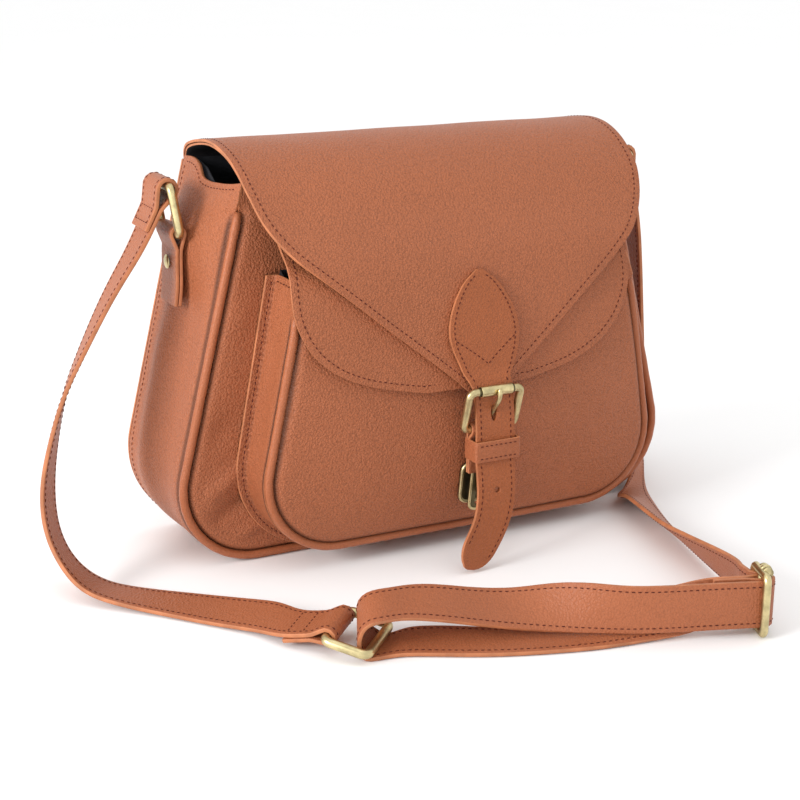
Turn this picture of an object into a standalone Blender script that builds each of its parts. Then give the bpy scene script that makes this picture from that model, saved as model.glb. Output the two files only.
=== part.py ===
"""Leather crossbody bag with a front pocket, two flaps, a buckled closure and a shoulder strap.

Metres, +Z up. The origin is the centre of the bag's base, on the surface that it stands on.
X runs along the bag, -Y is the front.
"""
import math

import bmesh
import bpy
from mathutils import Matrix, Vector

COLLECTION_NAME = "leather_crossbody_bag"

# Clearances and leathers
GAP = 0.0003
LEATHER = 0.002
FLAP_LEATHER = 0.0014
FLAP_LINING = 0.0012
LINING = 0.0008
LINING_SET_BACK = 0.006
BOARD = 0.0012
PIPING_RADIUS = 0.0023

# Main body
BODY_DEPTH = 0.072
FRONT_HALF = 0.151
BACK_HALF = 0.157
FRONT_CORNER = 0.043
BACK_CORNER = 0.049
BODY_LEAN = math.radians(14)
BODY_HEIGHT = 0.205
BACK_RISE = 0.004
SIDE_BULGE = 0.0012
TAB_BULGE = 0.0078
TAB_BULGE_HEIGHT = 0.172
TAB_BULGE_SPREAD = 0.022
BODY_PIPING_TOP = 0.190

# Front pocket
FRONT_OFFSET = 0.004
POCKET_HALF = 0.119
POCKET_CORNER = 0.0426
POCKET_LEAN = math.radians(11)
POCKET_BASE = 0.0095
POCKET_TOP = 0.158
POCKET_BACK_RISE = 0.004
POCKET_DEPTH = 0.029
POCKET_LEAN_OUT = 0.005
POCKET_FULL_HEIGHT = 0.130
POCKET_DRAW_IN = 0.006
POCKET_SWELL = 0.0103
POCKET_PIPING_TOP = 0.141
FLANGE = 0.006

# Flaps
FOLD_SET_OUT = 0.0018
MAIN_HINGE = (0.0, 0.03945, 0.204)
FLAP_REACH = 0.11385
FLAP_DROP = 0.113
FLAP_TIP = MAIN_HINGE[2] - FLAP_DROP
FLAP_HALF = 0.118
POCKET_HINGE = (FRONT_OFFSET, -0.03945, 0.187)
POCKET_FLAP_REACH = 0.0347
POCKET_FLAP_DROP = 0.091
POCKET_FLAP_HALF = 0.100
ROOT_HEIGHT = 0.0095
ROOT_RELIEF = 0.00165
FLAP_GAP = 0.0004
FLAP_STACK = FLAP_LEATHER + FLAP_LINING + FLAP_GAP

# Closure
CLOSURE_WIDTH = 0.022
CLOSURE_STRAP = 0.002
BUCKLE_WIRE = 0.0021
BUCKLE_HALF = 0.01425
BUCKLE_CORNER = 0.0028
ROLLER_RISE = 0.006
ROLLER_BAR = (-0.095, FLAP_TIP + ROLLER_RISE)
HEEL_DROP = 0.016
HEEL_BAR = (-0.088, FLAP_TIP - HEEL_DROP)
ROLLER_WALL = 0.0005
ROLLER_LENGTH = 0.0185
PRONG_WIRE = 0.0013
PRONG_LOOP_WIRE = 0.0008
PRONG_HOLE_LENGTH = 0.0084
PRONG_HOLE_WIDTH = 0.0034
PRONG_HOLE_DROP = 0.0071
SPARE_HOLE_DROP = 0.0485
SPARE_HOLE_WIDTH = 0.003
CHAPE = 0.0016
CHAPE_DROP = 0.041
CHAPE_BOTTOM = FLAP_TIP - CHAPE_DROP
KEEPER_WALL = 0.0014
KEEPER_HEIGHT = 0.012
KEEPER_DROP = 0.0272
KEEPER_FRONT = -0.0950
KEEPER_BACK = -0.0843

# Turn lock
LOCK_WIDTH = 0.026
LOCK_HEIGHT = 0.026
LOCK_DROP = 0.050
LOCK_CENTRE_HEIGHT = FLAP_TIP - LOCK_DROP
LOCK_THICKNESS = 0.0015
LOCK_TILT = math.radians(10)
LOCK_CORNER = 0.005
EYELET_WIDTH = 0.020
EYELET_DROP = 0.033
EYELET_TOP = FLAP_TIP - EYELET_DROP
EYELET_HEIGHT = 0.033
EYELET_THICKNESS = 0.0012
EYELET_SLOT_WIDTH = 0.0054
EYELET_SLOT_HEIGHT = 0.0185
EYELET_SLOT_DROP = 0.003
TOGGLE_POST = 0.0015
TOGGLE_WIDTH = 0.004
TOGGLE_LENGTH = 0.011
TOGGLE_THICKNESS = 0.0026

# Side tabs and rings
TAB_WIDTH = 0.024
TAB_LEATHER = 0.0018
TAB_BOTTOM = 0.138
TAB_MERGE = 0.168
SIDE_CENTRE = 0.0045
RING_WIRE = 0.0017
RING_HALF = 0.0149
RING_LOW = (0.1365, 0.176)
RING_HIGH = (0.1405, 0.201)
RING_CORNER = 0.0025
RIVET_HEIGHT = 0.160
RIVET_RADIUS = 0.0038
RIVET_THICKNESS = 0.0013

# Shoulder strap
STRAP_WIDTH = 0.024
STRAP_LEATHER = 0.0022
STRAP_FOLD = 0.005
STRAP_FOLD_END = 0.024
STRAP_RING_LENGTH = 0.022
STRAP_RING_WIDTH = 0.030
STRAP_RING_CENTRE = (-0.1057, -0.1582, 0.0084)
STRAP_RING_ALONG = (0.68, -0.71, -0.19)
STRAP_RING_ACROSS = (0.73, 0.68, 0.09)
STRAP_RING_CORNER = 0.0026
RING_LOOP = 0.0086
SLIDER_CENTRE = (0.0769, -0.2272, 0.017)
SLIDER_ALONG = (0.94, -0.34, 0)
SLIDER_HALF = 0.01445
SLIDER_CORNER = 0.0018
SLIDER_FOLD = 0.0032
LEFT_HANG = (-0.46, 0, -0.888)
RIGHT_HANG = (0.33, 0, -0.944)

# Steps of the outline grid: flat bottom, corner and side of each half
BOTTOM_STEPS = 3
CORNER_STEPS = 6
SIDE_SHARES = (0.0, 0.25, 0.5, 0.66, 0.78, 0.91, 1.0)
SIDE_STEPS = len(SIDE_SHARES) - 1
HALF_STEPS = BOTTOM_STEPS + CORNER_STEPS + SIDE_STEPS
DEPTH_STEPS = 4
LINING_LAYERS = 4

# Main flap: shares of its reach, its drop and its half width, from the hinge to the tip
MAIN_FLAP_SHARES = (
    (0.0, 0.0, 0.983), (0.0, 0.053, 0.992), (0.041, 0.097, 1.0), (0.102, 0.122, 1.0),
    (0.208, 0.142, 1.0), (0.331, 0.149, 1.0), (0.454, 0.135, 1.0), (0.559, 0.097, 0.996),
    (0.647, 0.040, 0.992), (0.730, -0.040, 0.983), (0.809, -0.146, 0.953),
    (0.880, -0.239, 0.903), (0.937, -0.319, 0.835), (0.972, -0.407, 0.733),
    (0.988, -0.522, 0.597), (0.995, -0.655, 0.445), (0.997, -0.788, 0.288),
    (0.998, -0.903, 0.157), (0.999, -0.973, 0.085), (1.0, -1.0, 0.042))
# Pocket flap: the same shares
POCKET_FLAP_SHARES = (
    (0.0, 0.0, 0.92), (0.010, -0.033, 0.94), (0.082, -0.071, 0.96), (0.255, -0.110, 0.98),
    (0.471, -0.159, 0.99), (0.673, -0.225, 0.99), (0.831, -0.297, 0.995), (0.911, -0.385, 1.0),
    (0.961, -0.495, 0.995), (0.990, -0.615, 0.96), (0.997, -0.736, 0.89),
    (1.0, -0.846, 0.77), (1.0, -0.934, 0.58), (1.0, -1.0, 0.3))
# Closure strap on the flap: heights from the tip of the leaf to the flap's edge, and half widths
LEAF_RISE = 0.067
LEAF_TOP = FLAP_TIP + LEAF_RISE
LEAF_FOOT_RISE = 0.015
LEAF_BOTTOM = FLAP_TIP + LEAF_FOOT_RISE
LEAF_HALF = 0.0208
LEAF_SHARES = (
    (0.0, 0.12), (0.06, 0.36), (0.17, 0.62), (0.33, 0.86), (0.52, 1.0), (0.71, 0.94),
    (0.87, 0.81), (1.0, 0.69))

# Free part of the closure strap: X, Y, Z from the flap's tip, chosen by hand
TAIL_ROUTE = (
    (0.004, -0.0889, 0.0095), (0.004, -0.0908, 0.0055), (0.004, -0.0921, -0.0050),
    (0.004, -0.0933, -0.0160), (0.004, -0.0935, -0.0260), (0.004, -0.0937, -0.0340),
    (0.0038, -0.0953, -0.0410), (0.0028, -0.0978, -0.0520), (-0.0005, -0.1000, -0.0650),
    (-0.0060, -0.1021, -0.0775), (-0.0105, -0.1032, -0.0850))
# Shank of the prong: shares of its way forward and up to the roller bar
PRONG_SHARES = ((0.30, 0.36, 0.85), (0.88, 0.74, 0.9), (1.0, 1.0, 1.0), (0.97, 1.08, 0.6))

# Shoulder strap routes: X, Y, Z, turn of the width line and its lift in degrees, chosen by hand
SHORT_ROUTE = (
    (-0.158, 0.002, 0.1673, -1, 3), (-0.173, 0.001, 0.1454, -4, 7),
    (-0.187, -0.001, 0.1218, -8, 10), (-0.200, -0.004, 0.0979, -14, 14),
    (-0.209, -0.009, 0.0738, -21, 18), (-0.215, -0.015, 0.0511, -28, 21),
    (-0.216, -0.023, 0.0312, -31, 22), (-0.211, -0.034, 0.0157, -35, 19),
    (-0.201, -0.045, 0.0056, -42, 10), (-0.185, -0.061, 0.0030, -44, 3),
    (-0.168, -0.078, 0.0027, -47, -3), (-0.151, -0.098, 0.0038, -49, -9),
    (-0.134, -0.118, 0.0056, -50, -13))
LOWER_ROUTE = (
    (0.045, -0.2135, 0.0132, 176, 66), (0.021, -0.205, 0.0082, 170, 34),
    (-0.004, -0.199, 0.0030, 167, 7), (-0.028, -0.192, 0.0026, 164, 5),
    (-0.049, -0.184, 0.0027, 156, 6), (-0.067, -0.175, 0.0031, 150, 8),
    (-0.084, -0.1665, 0.0031, 143, 7))
UPPER_ROUTE = (
    (-0.083, -0.164, 0.0222, 150, 16), (-0.068, -0.169, 0.0206, 160, 21),
    (-0.049, -0.174, 0.0167, 159, 23), (-0.031, -0.180, 0.0145, 155, 30),
    (-0.015, -0.189, 0.0157, 152, 51), (-0.002, -0.200, 0.0173, 153, 75),
    (0.012, -0.210, 0.0174, 158, 88), (0.030, -0.2175, 0.0173, 160, 89),
    (0.051, -0.2245, 0.0172, 160, 89))
REAR_ROUTE = (
    (0.080, -0.210, 0.0163, 247, 84), (0.086, -0.200, 0.0153, 250, 76),
    (0.091, -0.182, 0.0137, 251, 65), (0.096, -0.155, 0.0115, 254, 53),
    (0.102, -0.125, 0.0095, 256, 41), (0.109, -0.096, 0.0085, 254, 36),
    (0.117, -0.070, 0.0072, 258, 27), (0.129, -0.050, 0.0040, 275, 8),
    (0.143, -0.034, 0.0050, 302, 8), (0.152, -0.018, 0.0130, 330, 6),
    (0.156, -0.009, 0.0300, 347, 4), (0.157, -0.003, 0.0540, 352, 4),
    (0.157, 0.001, 0.0820, 355, 3), (0.156, 0.003, 0.1060, 357, 0),
    (0.1545, 0.004, 0.1300, 358, 0), (0.152, 0.0045, 0.1540, 360, 0))

# Colours, roughness and metallic value of each finish
FINISHES = {
    "leather": ((0.45, 0.14, 0.055, 1), 0.55, 0.0),
    "leather_edge": ((0.52, 0.17, 0.07, 1), 0.5, 0.0),
    "lining": ((0.012, 0.012, 0.018, 1), 0.9, 0.0),
    "board": ((0.25, 0.2, 0.15, 1), 0.9, 0.0),
    "brass": ((0.62, 0.55, 0.3, 1), 0.25, 1.0),
}

BODY_FRONT = (FRONT_HALF, FRONT_CORNER, BODY_LEAN, 0.0)
BODY_BACK = (BACK_HALF, BACK_CORNER, BODY_LEAN, 0.0)
POCKET = (POCKET_HALF, POCKET_CORNER, POCKET_LEAN, POCKET_BASE)
HALF_DEPTH = BODY_DEPTH / 2


def clear_scene():
    for obj in list(bpy.data.objects):
        bpy.data.objects.remove(obj, do_unlink=True)


def new_collection(name):
    collection = bpy.data.collections.new(name)
    bpy.context.scene.collection.children.link(collection)
    return collection


def make_material(name, finish):
    colour, roughness, metallic = FINISHES[finish]
    material = bpy.data.materials.new(name)
    material.use_nodes = True
    shader = material.node_tree.nodes["Principled BSDF"]
    shader.inputs["Base Color"].default_value = colour
    shader.inputs["Roughness"].default_value = roughness
    shader.inputs["Metallic"].default_value = metallic
    material.diffuse_color = colour
    return material


def add_part(name, data, finish, origin=None):
    """Link a mesh or curve as a named piece, with its origin on its joint where it has one."""
    data.materials.append(make_material(name, finish))
    obj = bpy.data.objects.new(name, data)
    bpy.data.collections[COLLECTION_NAME].objects.link(obj)
    if origin is not None:
        data.transform(Matrix.Translation(-Vector(origin)))
        obj.location = origin
    return obj


def solidify(obj, thickness):
    modifier = obj.modifiers.new("Thickness", "SOLIDIFY")
    modifier.thickness = thickness
    modifier.offset = 0
    modifier.use_even_offset = True
    return obj


def sheet(name, columns, rows, place, thickness, finish, origin=None):
    """A leather sheet: a grid laid out by place(column, row), centred in its thickness."""
    mesh = bpy.data.meshes.new(name)
    bm = bmesh.new()
    bmesh.ops.create_grid(bm, x_segments=columns, y_segments=rows, size=1)
    for vert in bm.verts:
        column = round((vert.co.x + 1) / 2 * columns)
        row = round((vert.co.y + 1) / 2 * rows)
        vert.co = place(column, row)
    bmesh.ops.triangulate(bm, faces=bm.faces)
    bm.to_mesh(mesh)
    bm.free()
    mesh.shade_smooth()
    mesh.set_sharp_from_angle(angle=math.radians(40))
    return solidify(add_part(name, mesh, finish, origin), thickness)


def subdivide_along(bm, axis, count):
    edges = []
    for edge in bm.edges:
        direction = (edge.verts[1].co - edge.verts[0].co).normalized()
        if abs(direction[axis]) > 1 / 2:
            edges.append(edge)
    bmesh.ops.subdivide_edges(bm, edges=edges, cuts=count - 1, use_grid_fill=True)


def pouch(name, place, columns, layers, rows, finish):
    """An open bag: a cube without its lid, divided and laid out by place(across, depth, height)."""
    mesh = bpy.data.meshes.new(name)
    bm = bmesh.new()
    bmesh.ops.create_cube(bm, size=1)
    lid = [face for face in bm.faces if face.normal.z > 1 / 2]
    bmesh.ops.delete(bm, geom=lid, context="FACES_ONLY")
    for axis, count in enumerate((columns, layers, rows)):
        subdivide_along(bm, axis, count)
    for vert in bm.verts:
        x, y, z = vert.co
        vert.co = place(2 * x, y + 1 / 2, z + 1 / 2)
    bmesh.ops.triangulate(bm, faces=bm.faces)
    bm.to_mesh(mesh)
    bm.free()
    return solidify(add_part(name, mesh, finish), LINING)


def wire(name, points, radius, finish, closed=False, origin=None, swells=None, resolution=2):
    """A round wire or piping along its points."""
    curve = bpy.data.curves.new(name, "CURVE")
    curve.dimensions = "3D"
    curve.bevel_depth = radius
    curve.bevel_resolution = resolution
    curve.use_fill_caps = True
    spline = curve.splines.new("POLY")
    spline.points.add(len(points) - 1)
    for index, point in enumerate(points):
        spline.points[index].co = (*point, 1)
        spline.points[index].radius = swells[index] if swells else 1
    spline.use_cyclic_u = closed
    spline.use_smooth = True
    return add_part(name, curve, finish, origin)


def plate(name, loops, thickness, finish, place):
    """A flat plate: outlines in its own plane, extruded and set by a matrix."""
    curve = bpy.data.curves.new(name, "CURVE")
    curve.dimensions = "2D"
    curve.fill_mode = "BOTH"
    curve.extrude = thickness / 2
    for loop in loops:
        spline = curve.splines.new("POLY")
        spline.points.add(len(loop) - 1)
        for index, (x, y) in enumerate(loop):
            spline.points[index].co = (x, y, 0, 1)
        spline.use_cyclic_u = True
    obj = add_part(name, curve, finish)
    return as_mesh(obj, place)


def as_mesh(obj, place=None):
    """Turn a curve object into a welded mesh object of the same name, in world space."""
    name = obj.name
    bpy.context.view_layer.update()
    depsgraph = bpy.context.evaluated_depsgraph_get()
    mesh = bpy.data.meshes.new_from_object(obj.evaluated_get(depsgraph))
    bm = bmesh.new()
    bm.from_mesh(mesh)
    bmesh.ops.remove_doubles(bm, verts=bm.verts, dist=GAP / 10)
    bmesh.ops.recalc_face_normals(bm, faces=bm.faces)
    bm.to_mesh(mesh)
    bm.free()
    mesh.transform(obj.matrix_world if place is None else place)
    collection = obj.users_collection[0]
    bpy.data.objects.remove(obj, do_unlink=True)
    result = bpy.data.objects.new(name, mesh)
    collection.objects.link(result)
    return result


def set_origin(obj, origin):
    obj.data.transform(Matrix.Translation(-Vector(origin)))
    obj.location = origin


def rounded_box(half_x, half_y, corner, steps=3):
    """Corner points of a rectangle with round corners, anticlockwise."""
    points = []
    for quarter, (side_x, side_y) in enumerate(((1, 1), (-1, 1), (-1, -1), (1, -1))):
        for step in range(steps + 1):
            angle = math.pi / 2 * (quarter + step / steps)
            points.append((side_x * (half_x - corner) + corner * math.cos(angle),
                           side_y * (half_y - corner) + corner * math.sin(angle)))
    return points


def boolean(target, tool, operation, keep_tool=True):
    modifier = target.modifiers.new(operation.title(), "BOOLEAN")
    modifier.operation = operation
    modifier.object = tool
    if keep_tool:
        for collection in list(tool.users_collection):
            collection.objects.unlink(tool)
        bpy.data.collections["cutters"].objects.link(tool)
        tool.hide_render = True
        tool.display_type = "WIRE"


def apply_modifiers(obj):
    bpy.context.view_layer.update()
    depsgraph = bpy.context.evaluated_depsgraph_get()
    mesh = bpy.data.meshes.new_from_object(obj.evaluated_get(depsgraph))
    obj.modifiers.clear()
    obj.data = mesh


def box_mesh(name, size, centre):
    mesh = bpy.data.meshes.new(name)
    bm = bmesh.new()
    bmesh.ops.create_cube(bm, size=1)
    bmesh.ops.scale(bm, verts=bm.verts, vec=size)
    bmesh.ops.translate(bm, verts=bm.verts, vec=centre)
    bm.to_mesh(mesh)
    bm.free()
    return mesh


def cutter(name, size, centre):
    obj = bpy.data.objects.new(name, box_mesh(name, size, centre))
    bpy.data.collections["cutters"].objects.link(obj)
    return obj


def outline_point(outline, step, inset, top):
    """Point on one half of a bag outline: flat bottom, round corner, leaning side."""
    half, corner, lean, base = outline
    centre_x = half - corner
    centre_z = base + corner
    radius = corner - inset
    if step <= BOTTOM_STEPS:
        return centre_x * step / BOTTOM_STEPS, base + inset
    turn = min((step - BOTTOM_STEPS) / CORNER_STEPS, 1)
    angle = (math.pi / 2 + lean) * turn - math.pi / 2
    x = centre_x + radius * math.cos(angle)
    z = centre_z + radius * math.sin(angle)
    climb = SIDE_SHARES[max(step - BOTTOM_STEPS - CORNER_STEPS, 0)] * (top - z)
    return x - climb * math.tan(lean), z + climb


def blend(first, second, share):
    return tuple(a + (b - a) * share for a, b in zip(first, second))


def body_outline(depth_share):
    return blend(BODY_FRONT, BODY_BACK, depth_share)


def body_bulge(z, depth_share):
    """How far the soft side stands out at mid depth, most of all where the tab pulls it."""
    pull = math.exp(-((z - TAB_BULGE_HEIGHT) / TAB_BULGE_SPREAD) ** 2)
    return (SIDE_BULGE + TAB_BULGE * pull) * (1 - (2 * depth_share - 1) ** 2)


def side_at(z, depth_share):
    """Half width of the body's outside at a height on its leaning side."""
    below = None
    for step in range(BOTTOM_STEPS + CORNER_STEPS, HALF_STEPS + 1):
        x, height = outline_point(body_outline(depth_share), step, 0, BODY_HEIGHT)
        above = (x + body_bulge(height, depth_share), height)
        if below and height >= z:
            break
        below = above
    return below[0] + (above[0] - below[0]) * (z - below[1]) / (above[1] - below[1])


def tab_side(z):
    """Where the side's tab lies: on the highest of the rows that it crosses."""
    return max(side_at(z, 1 / 2), side_at(z, (1 + 1 / 2) / 2))


def pocket_plane(z):
    """Y of the pocket's front seam: it leans out, then draws in above the piping."""
    face = -(HALF_DEPTH + POCKET_DEPTH)
    if z <= POCKET_FULL_HEIGHT:
        return face - POCKET_LEAN_OUT * z / POCKET_FULL_HEIGHT
    share = (z - POCKET_FULL_HEIGHT) / (POCKET_TOP - POCKET_FULL_HEIGHT)
    return face - POCKET_LEAN_OUT + POCKET_DRAW_IN * min(share, 1) ** 2


def pocket_swell(x, z):
    """How far the filled pocket swells past its seam."""
    height = (z - POCKET_BASE) / (POCKET_TOP - POCKET_BASE)
    across = abs(x - FRONT_OFFSET) / POCKET_HALF
    if height <= 0 or height >= 1 or across >= 1:
        return 0.0
    rise = math.sin(math.pi * height ** 0.75) ** 1.3
    return POCKET_SWELL * rise * (1 - across ** 2) ** 0.8


def panel(name, outline, inset, top_inset, top, y_at, centre=0.0):
    """A front or back panel: it is wider in its top row, above the piping's end."""
    rows = CORNER_STEPS + SIDE_STEPS

    def place(column, row):
        edge = top_inset if row == rows else inset
        x, z = outline_point(outline, BOTTOM_STEPS + row, edge, top)
        x = centre + x * (column / BOTTOM_STEPS - 1)
        return x, y_at(x, z), z
    sheet(name, 2 * BOTTOM_STEPS, rows, place, LEATHER, "leather")


def outline_run(outline, inset, top, y_at, centre=0.0):
    """Points of a piping along an outline, from the left top round to the right top."""
    steps = [HALF_STEPS - index for index in range(HALF_STEPS - BOTTOM_STEPS + 1)]
    left = [(-1, step) for step in steps]
    right = [(1, step) for step in reversed(steps)]
    points = []
    for side, step in left + right:
        x, z = outline_point(outline, step, inset, top)
        points.append((centre + side * x, y_at(z), z))
    return points


def make_body():
    seam = 2 * PIPING_RADIUS + 2 * GAP
    back_y = HALF_DEPTH - LEATHER / 2
    panel("back_panel", BODY_BACK, 0.0, 0.0, BODY_HEIGHT + BACK_RISE, lambda x, z: back_y)
    panel("front_panel", BODY_FRONT, seam, LEATHER + GAP, BODY_HEIGHT, lambda x, z: -back_y)
    make_gusset()
    centre = PIPING_RADIUS + GAP
    run = outline_run(BODY_FRONT, centre, BODY_PIPING_TOP, lambda z: PIPING_RADIUS - HALF_DEPTH)
    wire("front_piping", run, PIPING_RADIUS, "leather_edge")


def make_gusset():
    back_y = HALF_DEPTH - LEATHER - 2 * GAP
    seam_y = 2 * PIPING_RADIUS + GAP - HALF_DEPTH

    def place(column, row):
        side = 1 if column >= HALF_STEPS else -1
        step = abs(column - HALF_STEPS)
        share = row / DEPTH_STEPS
        rise = BACK_RISE * max(2 * share - 1, 0) ** 2
        x, z = outline_point(body_outline(share), step, LEATHER / 2, BODY_HEIGHT + rise)
        near = -HALF_DEPTH if step == HALF_STEPS else seam_y
        if step > BOTTOM_STEPS + CORNER_STEPS:
            x += body_bulge(z, share)
        return side * x, near + (back_y - near) * share, z
    sheet("main_gusset", 2 * HALF_STEPS, DEPTH_STEPS, place, LEATHER, "leather")


def lining_pouch(name, outline_at, top, front_at, back, centre=0.0):
    """A thin lining inside a gusset: it narrows at the front, to pass behind the piping."""
    inset = LEATHER + 2 * GAP + LINING / 2
    front_inset = 2 * PIPING_RADIUS + 4 * GAP + LINING

    def place(across, depth, height):
        layer = round(depth * LINING_LAYERS)
        step = BOTTOM_STEPS + round(height * (CORNER_STEPS + SIDE_STEPS))
        edge = inset if layer else front_inset
        x, z = outline_point(outline_at(layer), step, edge, top - LINING)
        x = centre + across * x
        y = front_at(x, z, layer)
        if layer:
            y += LINING_SET_BACK
            y += (back - y) * (layer - 1) / (LINING_LAYERS - 1)
        return x, y, z
    pouch(name, place, 2 * BOTTOM_STEPS, LINING_LAYERS, CORNER_STEPS + SIDE_STEPS, "lining")


def make_linings():
    board_room = BOARD + GAP
    reach = HALF_DEPTH - LEATHER - GAP - LINING / 2

    def raised_outline(layer):
        lap = LINING_SET_BACK / BODY_DEPTH
        share = lap + (1 - lap) * (layer - 1) / (LINING_LAYERS - 1) if layer else 0
        half, corner, lean, base = body_outline(share)
        return half, corner - board_room, lean, base + board_room
    lining_pouch("main_lining", raised_outline, BODY_HEIGHT, lambda x, z, layer: -reach, reach)
    seam = 2 * PIPING_RADIUS + 2 * GAP
    size = (2 * (FRONT_HALF - FRONT_CORNER - seam), BODY_DEPTH - 2 * seam, BOARD)
    mesh = box_mesh("base_stiffener", size, (0, 0, LEATHER + GAP + BOARD / 2))
    add_part("base_stiffener", mesh, "board")

    def pocket_front(x, z, layer):
        front = pocket_plane(z) + LEATHER + 3 * GAP + LINING / 2
        return front if layer else front - pocket_swell(x, z)
    lining_pouch("pocket_lining", lambda layer: POCKET, POCKET_TOP, pocket_front,
                 -HALF_DEPTH - GAP - LINING / 2, FRONT_OFFSET)


def make_pocket():
    seam = 2 * PIPING_RADIUS + 2 * GAP
    panel("pocket_panel", POCKET, seam, LEATHER + GAP, POCKET_TOP,
          lambda x, z: pocket_plane(z) + LEATHER / 2 - pocket_swell(x, z), FRONT_OFFSET)
    centre = PIPING_RADIUS + GAP
    run = outline_run(POCKET, centre, POCKET_PIPING_TOP,
                      lambda z: pocket_plane(z) + PIPING_RADIUS, FRONT_OFFSET)
    wire("pocket_piping", run, PIPING_RADIUS, "leather_edge")
    flange_y = -HALF_DEPTH - 2 * GAP - LEATHER / 2

    def place(column, row):
        side = 1 if column >= HALF_STEPS else -1
        step = abs(column - HALF_STEPS)
        share = max(row - 1, 0) / DEPTH_STEPS
        rise = POCKET_BACK_RISE * (1 - share) ** 2
        inset = LEATHER / 2 - (FLANGE if row == 0 else 0)
        x, z = outline_point(POCKET, step, inset, POCKET_TOP + rise)
        near = pocket_plane(z) + (0 if step == HALF_STEPS else 2 * PIPING_RADIUS + GAP)
        return FRONT_OFFSET + side * x, flange_y + (near - flange_y) * share, z
    sheet("pocket_gusset", 2 * HALF_STEPS, DEPTH_STEPS + 1, place, LEATHER, "leather")


def flap_section(shares, hinge, reach, drop, half):
    """Rows of a flap: Y, Z, half width and the outward normal of its section.

    The fold's line lies on the outside of the leather, so that the flap can turn right back.
    """
    start = hinge[1] - math.copysign(FOLD_SET_OUT, hinge[1])
    rows = [(start - a * reach, hinge[2] + b * drop, c * half) for a, b, c in shares]
    section = []
    for index, (y, z, width) in enumerate(rows):
        before = rows[max(index - 1, 0)]
        after = rows[min(index + 1, len(rows) - 1)]
        along = Vector((after[0] - before[0], after[1] - before[1])).normalized()
        section.append((y, z, width, along.y, -along.x))
    return section


def flap_layer(name, section, columns, offset, thickness, finish, hinge, shift):
    def place(column, row):
        y, z, width, normal_y, normal_z = section[row]
        x = shift * min(row / 10, 1) + width * (2 * column / columns - 1)
        y += offset * normal_y
        z += offset * normal_z
        return x, y - pocket_swell(x, z), z
    sheet(name, columns, len(section) - 1, place, thickness, finish, hinge)


def make_flap(name, shares, hinge, reach, drop, half, shift):
    section = flap_section(shares, hinge, reach, drop, half)
    outer = (FLAP_LEATHER + FLAP_GAP) / 2
    inner = (FLAP_LINING + FLAP_GAP) / 2
    flap_layer(name + "_outer", section, 8, outer, FLAP_LEATHER, "leather", hinge, shift)
    flap_layer(name + "_lining", section, 8, -inner, FLAP_LINING, "leather", hinge, shift)


def make_flap_root(name, hinge, half, side):
    """The sewn end of a flap, lapped on its panel on the other side of its fold."""
    centre_y = side * (HALF_DEPTH + GAP + FLAP_STACK / 2)
    centre_z = hinge[2] - side * (ROOT_RELIEF + ROOT_HEIGHT / 2)
    mesh = box_mesh(name, (2 * half, FLAP_STACK, ROOT_HEIGHT), (hinge[0], centre_y, centre_z))
    add_part(name, mesh, "leather")


def strip(name, stations, thickness, finish, origin=None):
    """A strap through stations of a centre, a width direction and a half width."""
    def place(column, row):
        centre, across, half = stations[row]
        return centre + across * half * (column - 1)
    return sheet(name, 2, len(stations) - 1, place, thickness, finish, origin)


def closure_stations():
    section = flap_section(MAIN_FLAP_SHARES, MAIN_HINGE, FLAP_REACH, FLAP_DROP, FLAP_HALF)
    front = [row for row in section if row[0] < -HALF_DEPTH]
    lift = FLAP_GAP / 2 + FLAP_LEATHER + 2 * GAP + CLOSURE_STRAP / 2
    stations = []
    for down, width in LEAF_SHARES:
        z = LEAF_TOP - down * (LEAF_TOP - LEAF_BOTTOM)
        above = [row for row in front if row[1] >= z][-1]
        below = [row for row in front if row[1] < z][0]
        share = (above[1] - z) / (above[1] - below[1])
        y = above[0] + (below[0] - above[0]) * share - lift - pocket_swell(FRONT_OFFSET, z)
        stations.append((Vector((FRONT_OFFSET, y, z)), Vector((1, 0, 0)), width * LEAF_HALF))
    half = CLOSURE_WIDTH / 2
    points = [Vector(point) + Vector((0, 0, FLAP_TIP)) for point in TAIL_ROUTE]
    for index, point in enumerate(points):
        before = points[max(index - 1, 0)]
        after = points[min(index + 1, len(points) - 1)]
        across = Vector((0, 1, 0)).cross(after - before).normalized() * -1
        stations.append((point, across, half if index < len(points) - 1 else half / 2))
    return stations


def make_closure_strap():
    strap = strip("closure_strap", closure_stations(), CLOSURE_STRAP, "leather", MAIN_HINGE)
    for name, drop, width, length in (
            ("prong_hole", PRONG_HOLE_DROP, PRONG_HOLE_WIDTH, PRONG_HOLE_LENGTH),
            ("spare_hole", SPARE_HOLE_DROP, SPARE_HOLE_WIDTH, SPARE_HOLE_WIDTH)):
        centre = (FRONT_OFFSET, ROLLER_BAR[0], FLAP_TIP - drop)
        boolean(strap, cutter(name, (width, CLOSURE_WIDTH, length), centre), "DIFFERENCE")


def make_buckle():
    centre = Vector((FRONT_OFFSET, (ROLLER_BAR[0] + HEEL_BAR[0]) / 2,
                     (ROLLER_BAR[1] + HEEL_BAR[1]) / 2))
    rise = Vector((0, ROLLER_BAR[0] - HEEL_BAR[0], ROLLER_BAR[1] - HEEL_BAR[1]))
    up = rise.normalized()
    loop = rounded_box(BUCKLE_HALF, rise.length / 2, BUCKLE_CORNER)
    points = [centre + Vector((x, 0, 0)) + up * y for x, y in loop]
    wire("buckle_frame", points, BUCKLE_WIRE, "brass", closed=True, origin=MAIN_HINGE)
    make_roller()
    make_prong()
    make_chape()
    make_keeper()


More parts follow.
